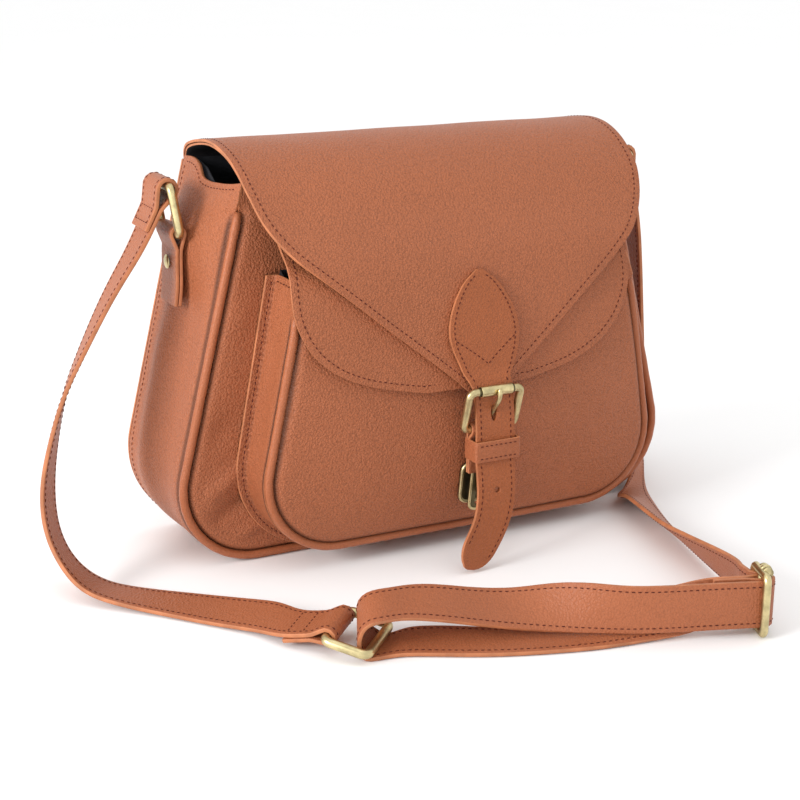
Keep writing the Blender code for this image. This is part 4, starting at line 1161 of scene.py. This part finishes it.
def closure_stations():
    """Stations of the closure strap, down its leaf on the flap and on to its tail."""
    lift = 0.2 + FLAP_LEATHER + 0.6 + CLOSURE_LEATHER / 2
    path = MAIN_FLAP.path
    stations = []
    for z, half in catmull(LEAF_ROWS, 5):
        front = path.rows[path.rows[:, 0] < -36]
        order = np.argsort(front[:, 1])
        y = float(np.interp(z, front[order, 1], front[order, 0]))
        y -= lift + pocket_swell(SHIFT, z)
        lean = 0.8 * smooth(z, 104, 130)
        stations.append((Vector((SHIFT - lean, y, z)), RIGHT, max(half * 1.04, 1.5)))
    points = [Vector(row) for row in catmull(TAIL_ROUTE, 6)]
    for index, point in enumerate(points):
        before, after = points[max(index - 1, 0)], points[min(index + 1, len(points) - 1)]
        across = (after - before).cross(BACKWARD).normalized()
        left = (points[-1] - point).length
        half = CLOSURE_WIDTH / 2 * (0.88 + 0.12 * smooth(left, 5, 50))
        if left < 15:
            half = max(half * max(1 - (1 - left / 15) ** 2.2, 0) ** 0.6, 1.0)
        stations.append((point, across, half))
    return stations


def cut(obj, centre, size):
    """Cut a hole with rounded ends through a piece."""
    deselect()
    bpy.ops.mesh.primitive_cylinder_add(vertices=24, radius=0.5, depth=1)
    turn = Matrix.Rotation(math.pi / 2, 4, "X")
    bore(obj, bpy.context.object, moved(centre) @ sized(size) @ turn)


def make_closure():
    strip = Strip(closure_stations())
    obj = strip_sheet("closure_leather", strip, CLOSURE_LEATHER, "closure", 0.4, 2.0, 8)
    cut(obj, *PRONG_HOLE)
    cut(obj, *TAIL_HOLE)
    carry(obj, "main_flap", ["closure_strap"])
    make_closure_stitches(strip)


def make_closure_stitches(strip):
    """Stitches run round the leaf, in a V at its foot, and down both edges of the tail."""
    lift = -(CLOSURE_LEATHER / 2 + THREAD_LIFT)
    leaf_end = 0.0
    while strip.point(leaf_end, 0).z > LEAF_FOOT and leaf_end < strip.length:
        leaf_end += 1
    distances = spaced(3, leaf_end + 4, 40)
    tip, foot = leaf_end - 18, leaf_end - 4

    def inset(s):
        half = Vector(strip.path.read(s)[3:6]).length
        return max(half - 2.6, 0) / half
    for side in (-1, 1):
        points = [strip.point(s, side * inset(s), lift) for s in distances]
        stitch_row("main_flap", points, (0, -1, 0), *FINE_STITCH)
    for side in (-1, 1):
        points = [strip.point(tip + (foot - tip) * (1 - k / 8), side * inset(tip) * k / 8, lift)
                  for k in range(9)]
        stitch_row("main_flap", points, (0, -1, 0), *FINE_STITCH)
    for side in (-1, 1):
        stitch_strip("main_flap", strip, side * STITCH_SHARE, lift, leaf_end + 5,
                     strip.length - 11)


def make_chape():
    """The chape: up behind the buckle's heel bar, round it and down again, with a prong slot."""
    loop = HEEL_RADIUS + PLAY + CHAPE_LEATHER / 2
    back_y, front_y = CHAPE_LAYERS
    y, z = HEEL_BAR
    straight = z - 1.6 * loop
    path = [(back_y, height) for height in spaced(CHAPE_FOOT, straight, 5)]
    path += turned(HEEL_BAR, loop, -40, 225, 20)
    path += [(front_y, height) for height in spaced(straight, CHAPE_FOOT, 5)]
    strip = Strip([(Vector((SHIFT, a, b)), RIGHT, CHAPE_HALF) for a, b in path])
    obj = strip_sheet("chape_leather", strip, CHAPE_LEATHER, "strap", 0.35, 1.2)
    deselect()
    bpy.ops.mesh.primitive_cube_add(size=1)
    bore(obj, bpy.context.object, moved((SHIFT, y, CHAPE_SLOT_Z)) @ sized(CHAPE_SLOT))
    carry(obj, "main_flap", ["buckle_chape"])


def make_keeper():
    """The keeper: a band round both layers of the strap, stitched along its edges."""
    half = KEEPER_LEATHER / 2
    middle, half_y = (KEEPER_FRONT + KEEPER_BACK) / 2, (KEEPER_BACK - KEEPER_FRONT) / 2
    loop = round_loop(KEEPER_HALF + half, half_y + half, 0.9, 4)
    count = len(loop)

    def place(u, v):
        x, y = loop[round(u * count) % count]
        return KEEPER_X + x, middle + y, KEEPER_Z + KEEPER_HEIGHT * v
    obj = grid("keeper_leather", count, 8, place)
    weld(obj)
    dress(obj, "strap", "edge")
    thicken(obj, KEEPER_LEATHER, False, 1)
    round_edges(obj, 0.35)
    apply_all(obj)
    obj.data.shade_smooth()
    carry(obj, "main_flap", ["strap_keeper"])
    face = KEEPER_FRONT - KEEPER_LEATHER - THREAD_LIFT
    for z in KEEPER_STITCHES:
        points = [Vector((KEEPER_X + x, face, z)) for x in spaced(-11.4, 11.4, 8)]
        stitch_row("main_flap", points, (0, -1, 0), *FINE_STITCH)


def make_buckle():
    """The buckle's frame, with a dark collar at each end of its roller as painted shade in the
    gap, the roller and the prong.
    """
    roller, heel = Vector((SHIFT, *ROLLER_BAR)), Vector((SHIFT, *HEEL_BAR))
    rise = roller - heel
    loop = round_loop(BUCKLE_HALF, rise.length / 2, BUCKLE_CORNER)
    obj = wire_ring("buckle_frame_wire", (roller + heel) / 2, RIGHT, rise.normalized(), loop,
                    BUCKLE_WIRE)
    for side in (-1, 1):
        gap = roller + RIGHT * side * ROLLER_GAP_X
        ends = [gap - RIGHT * ROLLER_GAP_HALF, gap + RIGHT * ROLLER_GAP_HALF]
        # A dark collar that stands for the shade in the gap at this end of the roller.
        collar = tube("roller_gap_shade", ends, ROLLER_GAP, paint="brass_dark", sides=5)
        obj = join([obj, collar], "buckle_frame_wire")
    carry(obj, "main_flap", ["buckle_frame"])
    make_roller()
    make_prong()


def make_roller():
    deselect()
    bpy.ops.mesh.primitive_cylinder_add(vertices=40, radius=ROLLER * MM,
                                        depth=ROLLER_LENGTH * MM, end_fill_type="NOTHING")
    obj = bpy.context.object
    obj.name = "roller_tube"
    turn = Matrix.Rotation(math.pi / 2, 4, "Y")
    obj.data.transform(moved((SHIFT, *ROLLER_BAR)) @ turn)
    dress(obj, "brass")
    thicken(obj, ROLLER_WALL)
    round_edges(obj, 0.15, 2, 30)
    apply_all(obj)
    obj.data.shade_smooth()
    carry(obj, "roller", ["buckle_roller"])


def make_prong():
    """The prong: a loop round the heel bar, and a shank that rests on the roller."""
    points = [Vector((SHIFT, y, z)) for y, z in turned(HEEL_BAR, PRONG_LOOP, -165, 115, 24)]
    swells = [PRONG_SLIM] * len(points)
    start = points[-1]
    shank = [(start.y, start.z, PRONG_SLIM)]
    for ahead, above, swell in PRONG_SHAPE:
        shank.append((start.y + ahead * (PRONG_TIP[0] - start.y),
                      start.z + above * (PRONG_TIP[1] - start.z), swell))
    for y, z, swell in catmull(shank, 5)[1:]:
        points.append(Vector((SHIFT, y, z)))
        swells.append(swell)
    obj = tube("prong_wire", points, PRONG_WIRE, swells=swells)
    carry(obj, "prong", ["buckle_prong"])


def lock_surface():
    """Where the pocket's leather lies behind the lock."""
    return pocket_plane(LOCK_Z) - pocket_swell(SHIFT, LOCK_Z) - 0.6


def lock_matrix(out, up=0):
    """Place of a part of the lock, out from the pocket's leather and up along it."""
    turn = Matrix.Rotation(math.pi / 2 + LOCK_TILT, 4, "X")
    return moved((SHIFT, lock_surface(), LOCK_Z)) @ turn @ moved((0, up, out))


def flat_plate(name, loops, thickness, matrix, paint, rim):
    """A flat piece of metal inside its outer loop, with holes for the others."""
    curve = bpy.data.curves.new(name, "CURVE")
    curve.dimensions = "2D"
    curve.fill_mode = "BOTH"
    curve.extrude = (thickness / 2 - rim) * MM
    curve.bevel_depth = rim * MM
    curve.bevel_resolution = 2
    curve.offset = -rim * MM
    for loop in loops:
        spline = curve.splines.new("POLY")
        spline.points.add(len(loop) - 1)
        for index, (x, y) in enumerate(loop):
            spline.points[index].co = (x * MM, y * MM, 0, 1)
        spline.use_cyclic_u = True
    obj = curve_mesh(name, curve, matrix)
    dress(obj, paint)
    smooth_by_angle(obj)
    return obj


def smooth_by_angle(obj):
    activate(obj)
    bpy.ops.object.shade_smooth_by_angle(angle=math.radians(35))


def make_lock():
    """The plate on the pocket, the eyelet that hangs over it, and the toggle through both."""
    plate = flat_plate("lock_plate_metal", (round_loop(*LOCK_PLATE),), 1.4, lock_matrix(0.75),
                       "brass_dark", 0.3)
    rim = plate_rim("lock_plate_rim", round_loop(*LOCK_PLATE_RIM), lock_matrix(1.35), 1.0)
    carry(join([plate, rim], "lock_plate_metal"), "bag", ["lock_plate"])
    hang_y, hang_z = EYELET_HANG
    drop = (hang_z - LOCK_Z) * math.tan(LOCK_TILT)
    out = (lock_surface() - drop - hang_y) * math.cos(LOCK_TILT)
    above = (hang_z - LOCK_Z) / math.cos(LOCK_TILT) - 16.5
    slot = [(x, z - above - 3) for x, z in round_loop(*EYELET_SLOT)]
    eyelet = flat_plate("eyelet_metal", (round_loop(*EYELET), slot), 1.1,
                        lock_matrix(out - 0.7, above), "brass_dark", 0.2)
    rim = plate_rim("eyelet_rim", round_loop(*EYELET_RIM), lock_matrix(out - 0.5, above), 0.8)
    carry(join([eyelet, rim], "eyelet_metal"), "main_flap", ["lock_eyelet"])
    head = out + 1.9
    length = head - TOGGLE_FOOT
    deselect()
    bpy.ops.mesh.primitive_cylinder_add(vertices=32, radius=LOCK_POST * MM, depth=length * MM)
    post = bpy.context.object
    post.data.transform(lock_matrix(TOGGLE_FOOT + length / 2))
    dress(post, "brass")
    smooth_by_angle(post)
    bar = flat_plate("toggle_bar_metal", (round_loop(*TOGGLE_BAR),), 2.6, lock_matrix(head),
                     "brass", 0.5)
    carry(join([bar, post], "toggle_metal"), "toggle", ["lock_toggle"])


def plate_rim(name, loop, matrix, radius):
    """The raised bright edge of a plate."""
    points = [(matrix @ (Vector((x, y, 0)) * MM)) / MM for x, y in loop]
    return tube(name, points, radius, closed=True, sides=5)


def make_side(side, label):
    """Tab, rivet and ring on one side of the bag."""
    layer = TAB_LEATHER + PLAY

    def inner_x(z):
        return tab_side(z) + 0.6 + TAB_LEATHER / 2
    path = [(inner_x(z), z) for z in spaced(TAB_FOOT, TAB_TIP, 8)]
    path += turned(RING_LOW, RING_WIRE + PLAY + TAB_LEATHER / 2, 210, -30, 20)
    path += [(inner_x(z) + layer, z) for z in spaced(TAB_TIP, TAB_FOOT, 8)]
    strip = Strip([(Vector((side * x, SIDE_CENTRE, z)), BACKWARD, TAB_HALF) for x, z in path])
    tab = strip_sheet("tab_leather_" + label, strip, TAB_LEATHER, "strap", 0.4, 1.5)
    carry(tab, "bag", ["side_tab_" + label])
    make_rivet(side, label, inner_x(RIVET_Z) + layer + TAB_LEATHER)
    low, high = (Vector((side * x, SIDE_CENTRE, z)) for x, z in (RING_LOW, RING_HIGH))
    loop = round_loop(RING_HALF, (high - low).length / 2, RING_CORNER)
    ring = wire_ring("ring_wire_" + label, (low + high) / 2, BACKWARD, (high - low).normalized(),
                     loop, RING_WIRE)
    carry(ring, label + "_ring", ["side_ring_" + label])


def tab_side(z):
    """Where the side's tab lies, on the outside of the gusset."""
    values = []
    for share in (0.5, 0.75):
        outline = body_outline(share)
        x2, z2 = rim_point(outline, 2, 0, BODY_TOP)
        values.append(x2 - (z - z2) * math.tan(outline[2]) + body_bulge(z, share))
    return max(values)


def make_rivet(side, label, x):
    """A domed rivet head on a side's tab."""
    deselect()
    bpy.ops.mesh.primitive_uv_sphere_add(segments=32, ring_count=16, radius=1)
    obj = bpy.context.object
    obj.name = "rivet_metal_" + label
    bpy.ops.object.mode_set(mode="EDIT")
    bpy.ops.mesh.select_all(action="SELECT")
    bpy.ops.mesh.bisect(plane_co=(0, 0, 0), plane_no=(0, 0, 1), use_fill=True, clear_inner=True)
    bpy.ops.object.mode_set(mode="OBJECT")
    turn = Matrix.Rotation(side * math.pi / 2, 4, "Y")
    obj.data.transform(moved((side * x, SIDE_CENTRE, RIVET_Z)) @ turn @ sized(RIVET))
    weld(obj)
    dress(obj, "brass")
    smooth_by_angle(obj)
    carry(obj, "bag", ["tab_rivet_" + label])


def side_fold(side, hang):
    """Stations of a strap end round a side ring, leaving it along hang."""
    away = Vector(hang).normalized()
    out = Vector((side * abs(away.z), 0, abs(away.x)))
    bar = Vector((side * RING_HIGH[0], SIDE_CENTRE, RING_HIGH[1]))
    return fold(bar + away * 1.45, away, out, Vector((0, -1, 0)), 5.0)


def short_strip():
    """The short strap, from the left ring over the floor to the joining ring."""
    bar = RING_CENTRE - RING_ALONG * STRAP_RING_HALF
    away = Vector((-0.60, 0.78, -0.20))
    away = (away - RING_ACROSS * away.dot(RING_ACROSS)).normalized()
    under = away.cross(RING_ACROSS)
    if under.z > 0:
        under.negate()
    end = fold(bar, away, under, -RING_ACROSS, 3.9)
    end.reverse()
    side_bar = (-RING_HIGH[0], SIDE_CENTRE, RING_HIGH[1])
    stations = side_fold(-1, (-0.46, 0, -0.888)) + routed(SHORT_ROUTE) + end
    return Strip(eased(stations, ((side_bar, 16, 30), (tuple(bar), 11, 24))))


def long_strip():
    """The long strap, from the slider round the joining ring and back, and up to the right."""
    start = fold(SLIDER_CENTRE, -SLIDER_ALONG, -SLIDER_BACK, UP, SLIDER_FOLD)
    flat = Vector((RING_ALONG.x, RING_ALONG.y, 0)).normalized()
    bar = RING_CENTRE + RING_ALONG * STRAP_RING_HALF
    turns = catmull((tuple(RING_ACROSS), (0.36, 0.89, 0.27), tuple(width_line(150, 16))), 12)
    loop = [(centre, Vector(across).normalized(), half) for (centre, _, half), across
            in zip(arc(bar + UP * 6.5, -UP, -flat, 10.6, 24, 0, 180, RING_ACROSS), turns)]
    outer = SLIDER_FOLD + STRAP + 0.45
    rear_bar = SLIDER_CENTRE + SLIDER_BACK * SLIDER_PITCH
    turn = arc(SLIDER_CENTRE, -SLIDER_BACK, SLIDER_ALONG, outer, 22, 0, 180, UP)
    leave = arc(rear_bar, -SLIDER_BACK, -SLIDER_ALONG, SLIDER_PITCH - outer, 8, 30, 90, UP)
    last = side_fold(1, (0.33, 0, -0.944))
    last.reverse()
    side_bar = (RING_HIGH[0], SIDE_CENTRE, RING_HIGH[1])
    stations = (start + routed(LOWER_ROUTE) + loop + routed(UPPER_ROUTE) + turn + leave
                + routed(REAR_ROUTE) + last)
    holds = ((side_bar, 16, 30), (tuple(SLIDER_CENTRE), 20, 34), (tuple(bar), 2, 26))
    return Strip(eased(stations, holds))


def make_shoulder_strap():
    short, long = short_strip(), long_strip()
    for strip, label in ((short, "short_strap"), (long, "long_strap")):
        obj = strip_sheet(label + "_leather", strip, STRAP, "strap", 0.5, 2.6, 8)
        carry(obj, "bag", [label])
        for t in (-STITCH_SHARE, STITCH_SHARE):
            for side in (-1, 1):
                stitch_strip("bag", strip, t, side * (STRAP / 2 + THREAD_LIFT), 3,
                             strip.length - 3)
        for s in (4, 12, strip.length - 4, strip.length - 12):
            stitch_across("bag", strip, s)
    bar = RING_CENTRE - RING_ALONG * STRAP_RING_HALF
    for reach in (13.5, 22):
        at = short.length - 60
        while (short.point(at, 0) - bar).length > reach:
            at += 0.5
        stitch_across("bag", short, at)


def make_strap_ring():
    across = (RING_ACROSS - RING_ALONG * RING_ACROSS.dot(RING_ALONG)).normalized()
    loop = round_loop(STRAP_RING_HALF, STRAP_RING_HEIGHT, STRAP_RING_CORNER)
    ring = wire_ring("strap_ring_wire", RING_CENTRE, RING_ALONG, across, loop, RING_WIRE)
    carry(ring, "joining_ring", ["strap_ring"])


def make_slider():
    """The slider: a wire loop, its middle bar, and turned collars where the bar's ends sit."""
    loop = round_loop(SLIDER_PITCH + 0.35, SLIDER_HALF, SLIDER_CORNER)
    reach = UP * SLIDER_BAR_HALF
    pieces = [
        wire_ring("slider_wire", SLIDER_CENTRE, SLIDER_BACK, UP, loop, SLIDER_WIRE),
        tube("slider_bar_wire", [SLIDER_CENTRE - reach, SLIDER_CENTRE + reach], SLIDER_BAR)]
    for rise, size in SLIDER_EYES:
        for back, radius in SLIDER_COLLARS:
            eye = SLIDER_CENTRE + UP * rise + SLIDER_BACK * back + SLIDER_ALONG * 2.2
            ends = [eye - SLIDER_BACK * 0.9, eye + SLIDER_BACK * 0.9]
            pieces.append(tube("slider_eye", ends, radius * size, sides=6))
    carry(join(pieces, "slider_metal"), "bag", ["strap_slider"])


def flap_edge_line(flap, inset, lift, start):
    """Points of a line parallel to a flap's edge, from its left side round its tip."""
    half = []
    count = 240
    for index in range(count + 1):
        s = flap.length * index / count
        half.append((s, flap.half(s)))
    left = []
    for index, (s, w) in enumerate(half):
        s0, w0 = half[max(index - 1, 0)]
        s1, w1 = half[min(index + 1, count)]
        size = math.hypot(s1 - s0, w1 - w0)
        ns, nw = s + inset * (w1 - w0) / size, w - inset * (s1 - s0) / size
        if ns >= start and nw > 0.5 and ns < flap.length - inset:
            left.append((ns, nw))
    line = [(s, -w) for s, w in left] + [(s, w) for s, w in reversed(left)]
    return [flap.point(s, x, lift) for s, x in line], [flap.point(s, x, lift + 1) for s, x in line]


def make_flap_stitches():
    """A row of stitches along the edge of each flap."""
    for flap, body, start in ((MAIN_FLAP, "main_flap", 4), (POCKET_FLAP, "pocket_flap", 6)):
        points, raised = flap_edge_line(flap, 3.6, 1.62, start)
        normals = [(b - a).normalized() for a, b in zip(points, raised)]
        add_stitches(body, points, normals)


def gusset_line(places):
    """Points and outward normals on the gusset's outside, for pairs of u and v."""
    points, normals = [], []
    for u, v in places:
        point = Vector(gusset_place(u, v))
        along = Vector(gusset_place(u + 0.002, v)) - Vector(gusset_place(u - 0.002, v))
        across = Vector(gusset_place(u, v + 0.01)) - Vector(gusset_place(u, v - 0.01))
        normal = across.cross(along).normalized()
        points.append(point + normal * (LEATHER / 2 + THREAD_LIFT))
        normals.append(normal)
    return points, normals


def make_body_stitches():
    """The seams of the gusset, the pocket, the back panel and the flap's root."""
    face = BODY_PLANE + LEATHER / 2 + THREAD_LIFT
    for side in (-1, 1):
        seam = [(0.5 + side * t / 6, 0.94) for t in spaced(1.2, 2.97, 120)]
        add_stitches("bag", *gusset_line(seam))
        top = [(0.5 + side * 2.98 / 6, v) for v in spaced(0.06, 0.92, 20)]
        add_stitches("bag", *gusset_line(top))
        line = []
        for t in spaced(0, 3, 120):
            x, z = rim_point(POCKET, t, -2.2, POCKET_LIP)
            line.append(Vector((SHIFT + side * x, -39.5, z)))
        stitch_row("bag", line, (0, -1, 0))
        row = []
        x, z = rim_point(POCKET, 2.97, 0, POCKET_LIP + MOUTH_RISE)
        for step, y in enumerate(spaced(-40.5, -65, 8)):
            row.append(Vector((SHIFT + side * (x - 0.4 * math.sin(math.pi * step / 8)), y, z)))
        stitch_row("bag", row, (side, 0, 0.2))
        back = []
        for t in spaced(0, 2.95, 120):
            x, z = rim_point(BACK, t, 4, BACK_TOP - 0.6)
            back.append(Vector((side * x, face + back_lift(x, z), z)))
        stitch_row("bag", back, (0, 1, 0))
    for z in (195, 199.8):
        stitch_row("bag", [Vector((x, 38.35, z)) for x in spaced(-115, 115, 20)], (0, 1, 0))


def make_stitches():
    """One stitch is modelled and laid along every seam, and each body gets its own mesh."""
    deselect()
    bpy.ops.mesh.primitive_ico_sphere_add(subdivisions=1, radius=1)
    single = bpy.context.object
    base = np.array([vert.co for vert in single.data.vertices])
    faces = [tuple(polygon.vertices) for polygon in single.data.polygons]
    bpy.data.objects.remove(single, do_unlink=True)
    for body, frames in STITCHES.items():
        points, polygons = [], []
        for turn, centre in frames:
            start = len(points)
            matrix = np.array(turn)
            points.extend((base @ matrix.T + np.array(centre)) * MM)
            polygons.extend(tuple(start + k for k in face) for face in faces)
        mesh = bpy.data.meshes.new("stitches_" + body)
        mesh.from_pydata([tuple(p) for p in points], [], polygons)
        mesh.shade_smooth()
        obj = bpy.data.objects.new("stitches_" + body, mesh)
        bpy.context.scene.collection.objects.link(obj)
        dress(obj, "thread")
        carry(obj, body, [])


def area_light(name, place, size, power):
    """A lamp that looks at the bag."""
    light = bpy.data.lights.new(name, "AREA")
    light.energy = power
    light.size = size
    obj = bpy.data.objects.new(name, light)
    obj.location = place
    obj.rotation_euler = (Vector(LIGHT_TARGET) - Vector(place)).to_track_quat("-Z", "Y").to_euler()
    bpy.context.scene.collection.objects.link(obj)


class BagSizes(bpy.types.PropertyGroup):
    """Sizes of the bag's finish."""

    grain: bpy.props.FloatProperty(
        name="Grain", description="Width of a pebble of the leather's grain",
        subtype="DISTANCE", unit="LENGTH", default=0.0012, min=0.0002, max=0.005)
    stitch: bpy.props.FloatProperty(
        name="Stitch", description="Length from one stitch to the next",
        subtype="DISTANCE", unit="LENGTH", default=0.0031, min=0.001, max=0.01)


class BagColours(bpy.types.PropertyGroup):
    """Colours of the bag's materials."""

    leather: bpy.props.FloatVectorProperty(
        name="Leather", description="Colour of the tan leather", subtype="COLOR", size=3,
        default=(0.338, 0.105, 0.044), min=0, max=1)
    edge: bpy.props.FloatVectorProperty(
        name="Edge", description="Colour of the cut edges", subtype="COLOR", size=3,
        default=(0.44, 0.155, 0.062), min=0, max=1)
    thread: bpy.props.FloatVectorProperty(
        name="Thread", description="Colour of the stitches", subtype="COLOR", size=3,
        default=(0.085, 0.016, 0.012), min=0, max=1)
    lining: bpy.props.FloatVectorProperty(
        name="Lining", description="Colour of the lining", subtype="COLOR", size=3,
        default=(0.008, 0.008, 0.012), min=0, max=1)
    brass: bpy.props.FloatVectorProperty(
        name="Brass", description="Colour of the hardware", subtype="COLOR", size=3,
        default=(0.74, 0.62, 0.33), min=0, max=1)


class BAG_OT_body(bpy.types.Operator):
    """Make the back, front and gusset of the bag, and its piping"""

    bl_idname = "bag.body"
    bl_label = "Body"

    def execute(self, context):
        make_body_shell()
        make_pipings()
        make_body_stitches()
        return {"FINISHED"}


class BAG_OT_linings(bpy.types.Operator):
    """Make the dark linings of the bag and of its pocket"""

    bl_idname = "bag.linings"
    bl_label = "Linings"

    def execute(self, context):
        make_linings()
        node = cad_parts["base_stiffener"]
        node.data.materials.clear()
        node.data.materials.append(finish("board"))
        return {"FINISHED"}


class BAG_OT_pocket(bpy.types.Operator):
    """Make the front pocket"""

    bl_idname = "bag.pocket"
    bl_label = "Pocket"

    def execute(self, context):
        make_pocket()
        return {"FINISHED"}


class BAG_OT_flaps(bpy.types.Operator):
    """Make the main flap and the pocket's flap"""

    bl_idname = "bag.flaps"
    bl_label = "Flaps"

    def execute(self, context):
        make_flaps()
        make_flap_stitches()
        return {"FINISHED"}


class BAG_OT_closure(bpy.types.Operator):
    """Make the closure strap with its buckle, keeper, chape and lock"""

    bl_idname = "bag.closure"
    bl_label = "Closure"

    def execute(self, context):
        make_closure()
        make_chape()
        make_keeper()
        make_buckle()
        make_lock()
        return {"FINISHED"}


class BAG_OT_sides(bpy.types.Operator):
    """Make the tab, rivet and ring of each side"""

    bl_idname = "bag.sides"
    bl_label = "Side tabs and rings"

    def execute(self, context):
        for side, label in ((-1, "left"), (1, "right")):
            make_side(side, label)
        return {"FINISHED"}


class BAG_OT_strap(bpy.types.Operator):
    """Make the shoulder strap with its ring and slider"""

    bl_idname = "bag.strap"
    bl_label = "Shoulder strap"

    def execute(self, context):
        make_shoulder_strap()
        make_strap_ring()
        make_slider()
        return {"FINISHED"}


class BAG_OT_stitches(bpy.types.Operator):
    """Lay the stitches along every seam"""

    bl_idname = "bag.stitches"
    bl_label = "Stitches"

    def execute(self, context):
        make_stitches()
        return {"FINISHED"}


class BAG_OT_stage(bpy.types.Operator):
    """Set up the floor, the light and the camera"""

    bl_idname = "bag.stage"
    bl_label = "Stage"

    def execute(self, context):
        deselect()
        bpy.ops.mesh.primitive_plane_add(size=FLOOR_SIZE)
        floor = context.object
        floor.name = "floor"
        dress(floor, "floor")
        world = bpy.data.worlds.new("studio")
        context.scene.world = world
        world.use_nodes = True
        sky = world.node_tree.nodes["Background"]
        sky.inputs["Color"].default_value = (1, 1, 1, 1)
        sky.inputs["Strength"].default_value = SKY
        for light in LIGHTS:
            area_light(*light)
        camera = bpy.data.cameras.new("camera")
        camera.lens = CAMERA_LENS
        camera.sensor_width = CAMERA_SENSOR
        obj = bpy.data.objects.new("camera", camera)
        obj.location = CAMERA_PLACE
        obj.rotation_euler = [math.radians(turn) for turn in CAMERA_TURN]
        context.scene.collection.objects.link(obj)
        context.scene.camera = obj
        context.scene.view_settings.view_transform = "Standard"
        return {"FINISHED"}


OPERATORS = (BAG_OT_body, BAG_OT_linings, BAG_OT_pocket, BAG_OT_flaps, BAG_OT_closure,
             BAG_OT_sides, BAG_OT_strap, BAG_OT_stitches, BAG_OT_stage)


class BAG_PT_panel(bpy.types.Panel):
    """The bag's pieces, sizes and colours"""

    bl_label = "Crossbody Bag"
    bl_idname = "BAG_PT_panel"
    bl_space_type = "VIEW_3D"
    bl_region_type = "UI"
    bl_category = "Bag"

    def draw(self, context):
        column = self.layout.column()
        for name in BagSizes.__annotations__:
            column.prop(context.scene.bag_sizes, name)
        for name in BagColours.__annotations__:
            column.prop(context.scene.bag_colours, name)
        for operator in OPERATORS:
            column.operator(operator.bl_idname)


CLASSES = (BagSizes, BagColours) + OPERATORS + (BAG_PT_panel,)


def register():
    for item in CLASSES:
        bpy.utils.register_class(item)
    bpy.types.Scene.bag_sizes = bpy.props.PointerProperty(type=BagSizes)
    bpy.types.Scene.bag_colours = bpy.props.PointerProperty(type=BagColours)


def unregister():
    del bpy.types.Scene.bag_colours
    del bpy.types.Scene.bag_sizes
    for item in reversed(CLASSES):
        bpy.utils.unregister_class(item)


def main():
    register()
    bpy.ops.bag.body()
    bpy.ops.bag.linings()
    bpy.ops.bag.pocket()
    bpy.ops.bag.flaps()
    bpy.ops.bag.closure()
    bpy.ops.bag.sides()
    bpy.ops.bag.strap()
    bpy.ops.bag.stitches()
    bpy.ops.bag.stage()


if __name__ == "__main__":
    main()
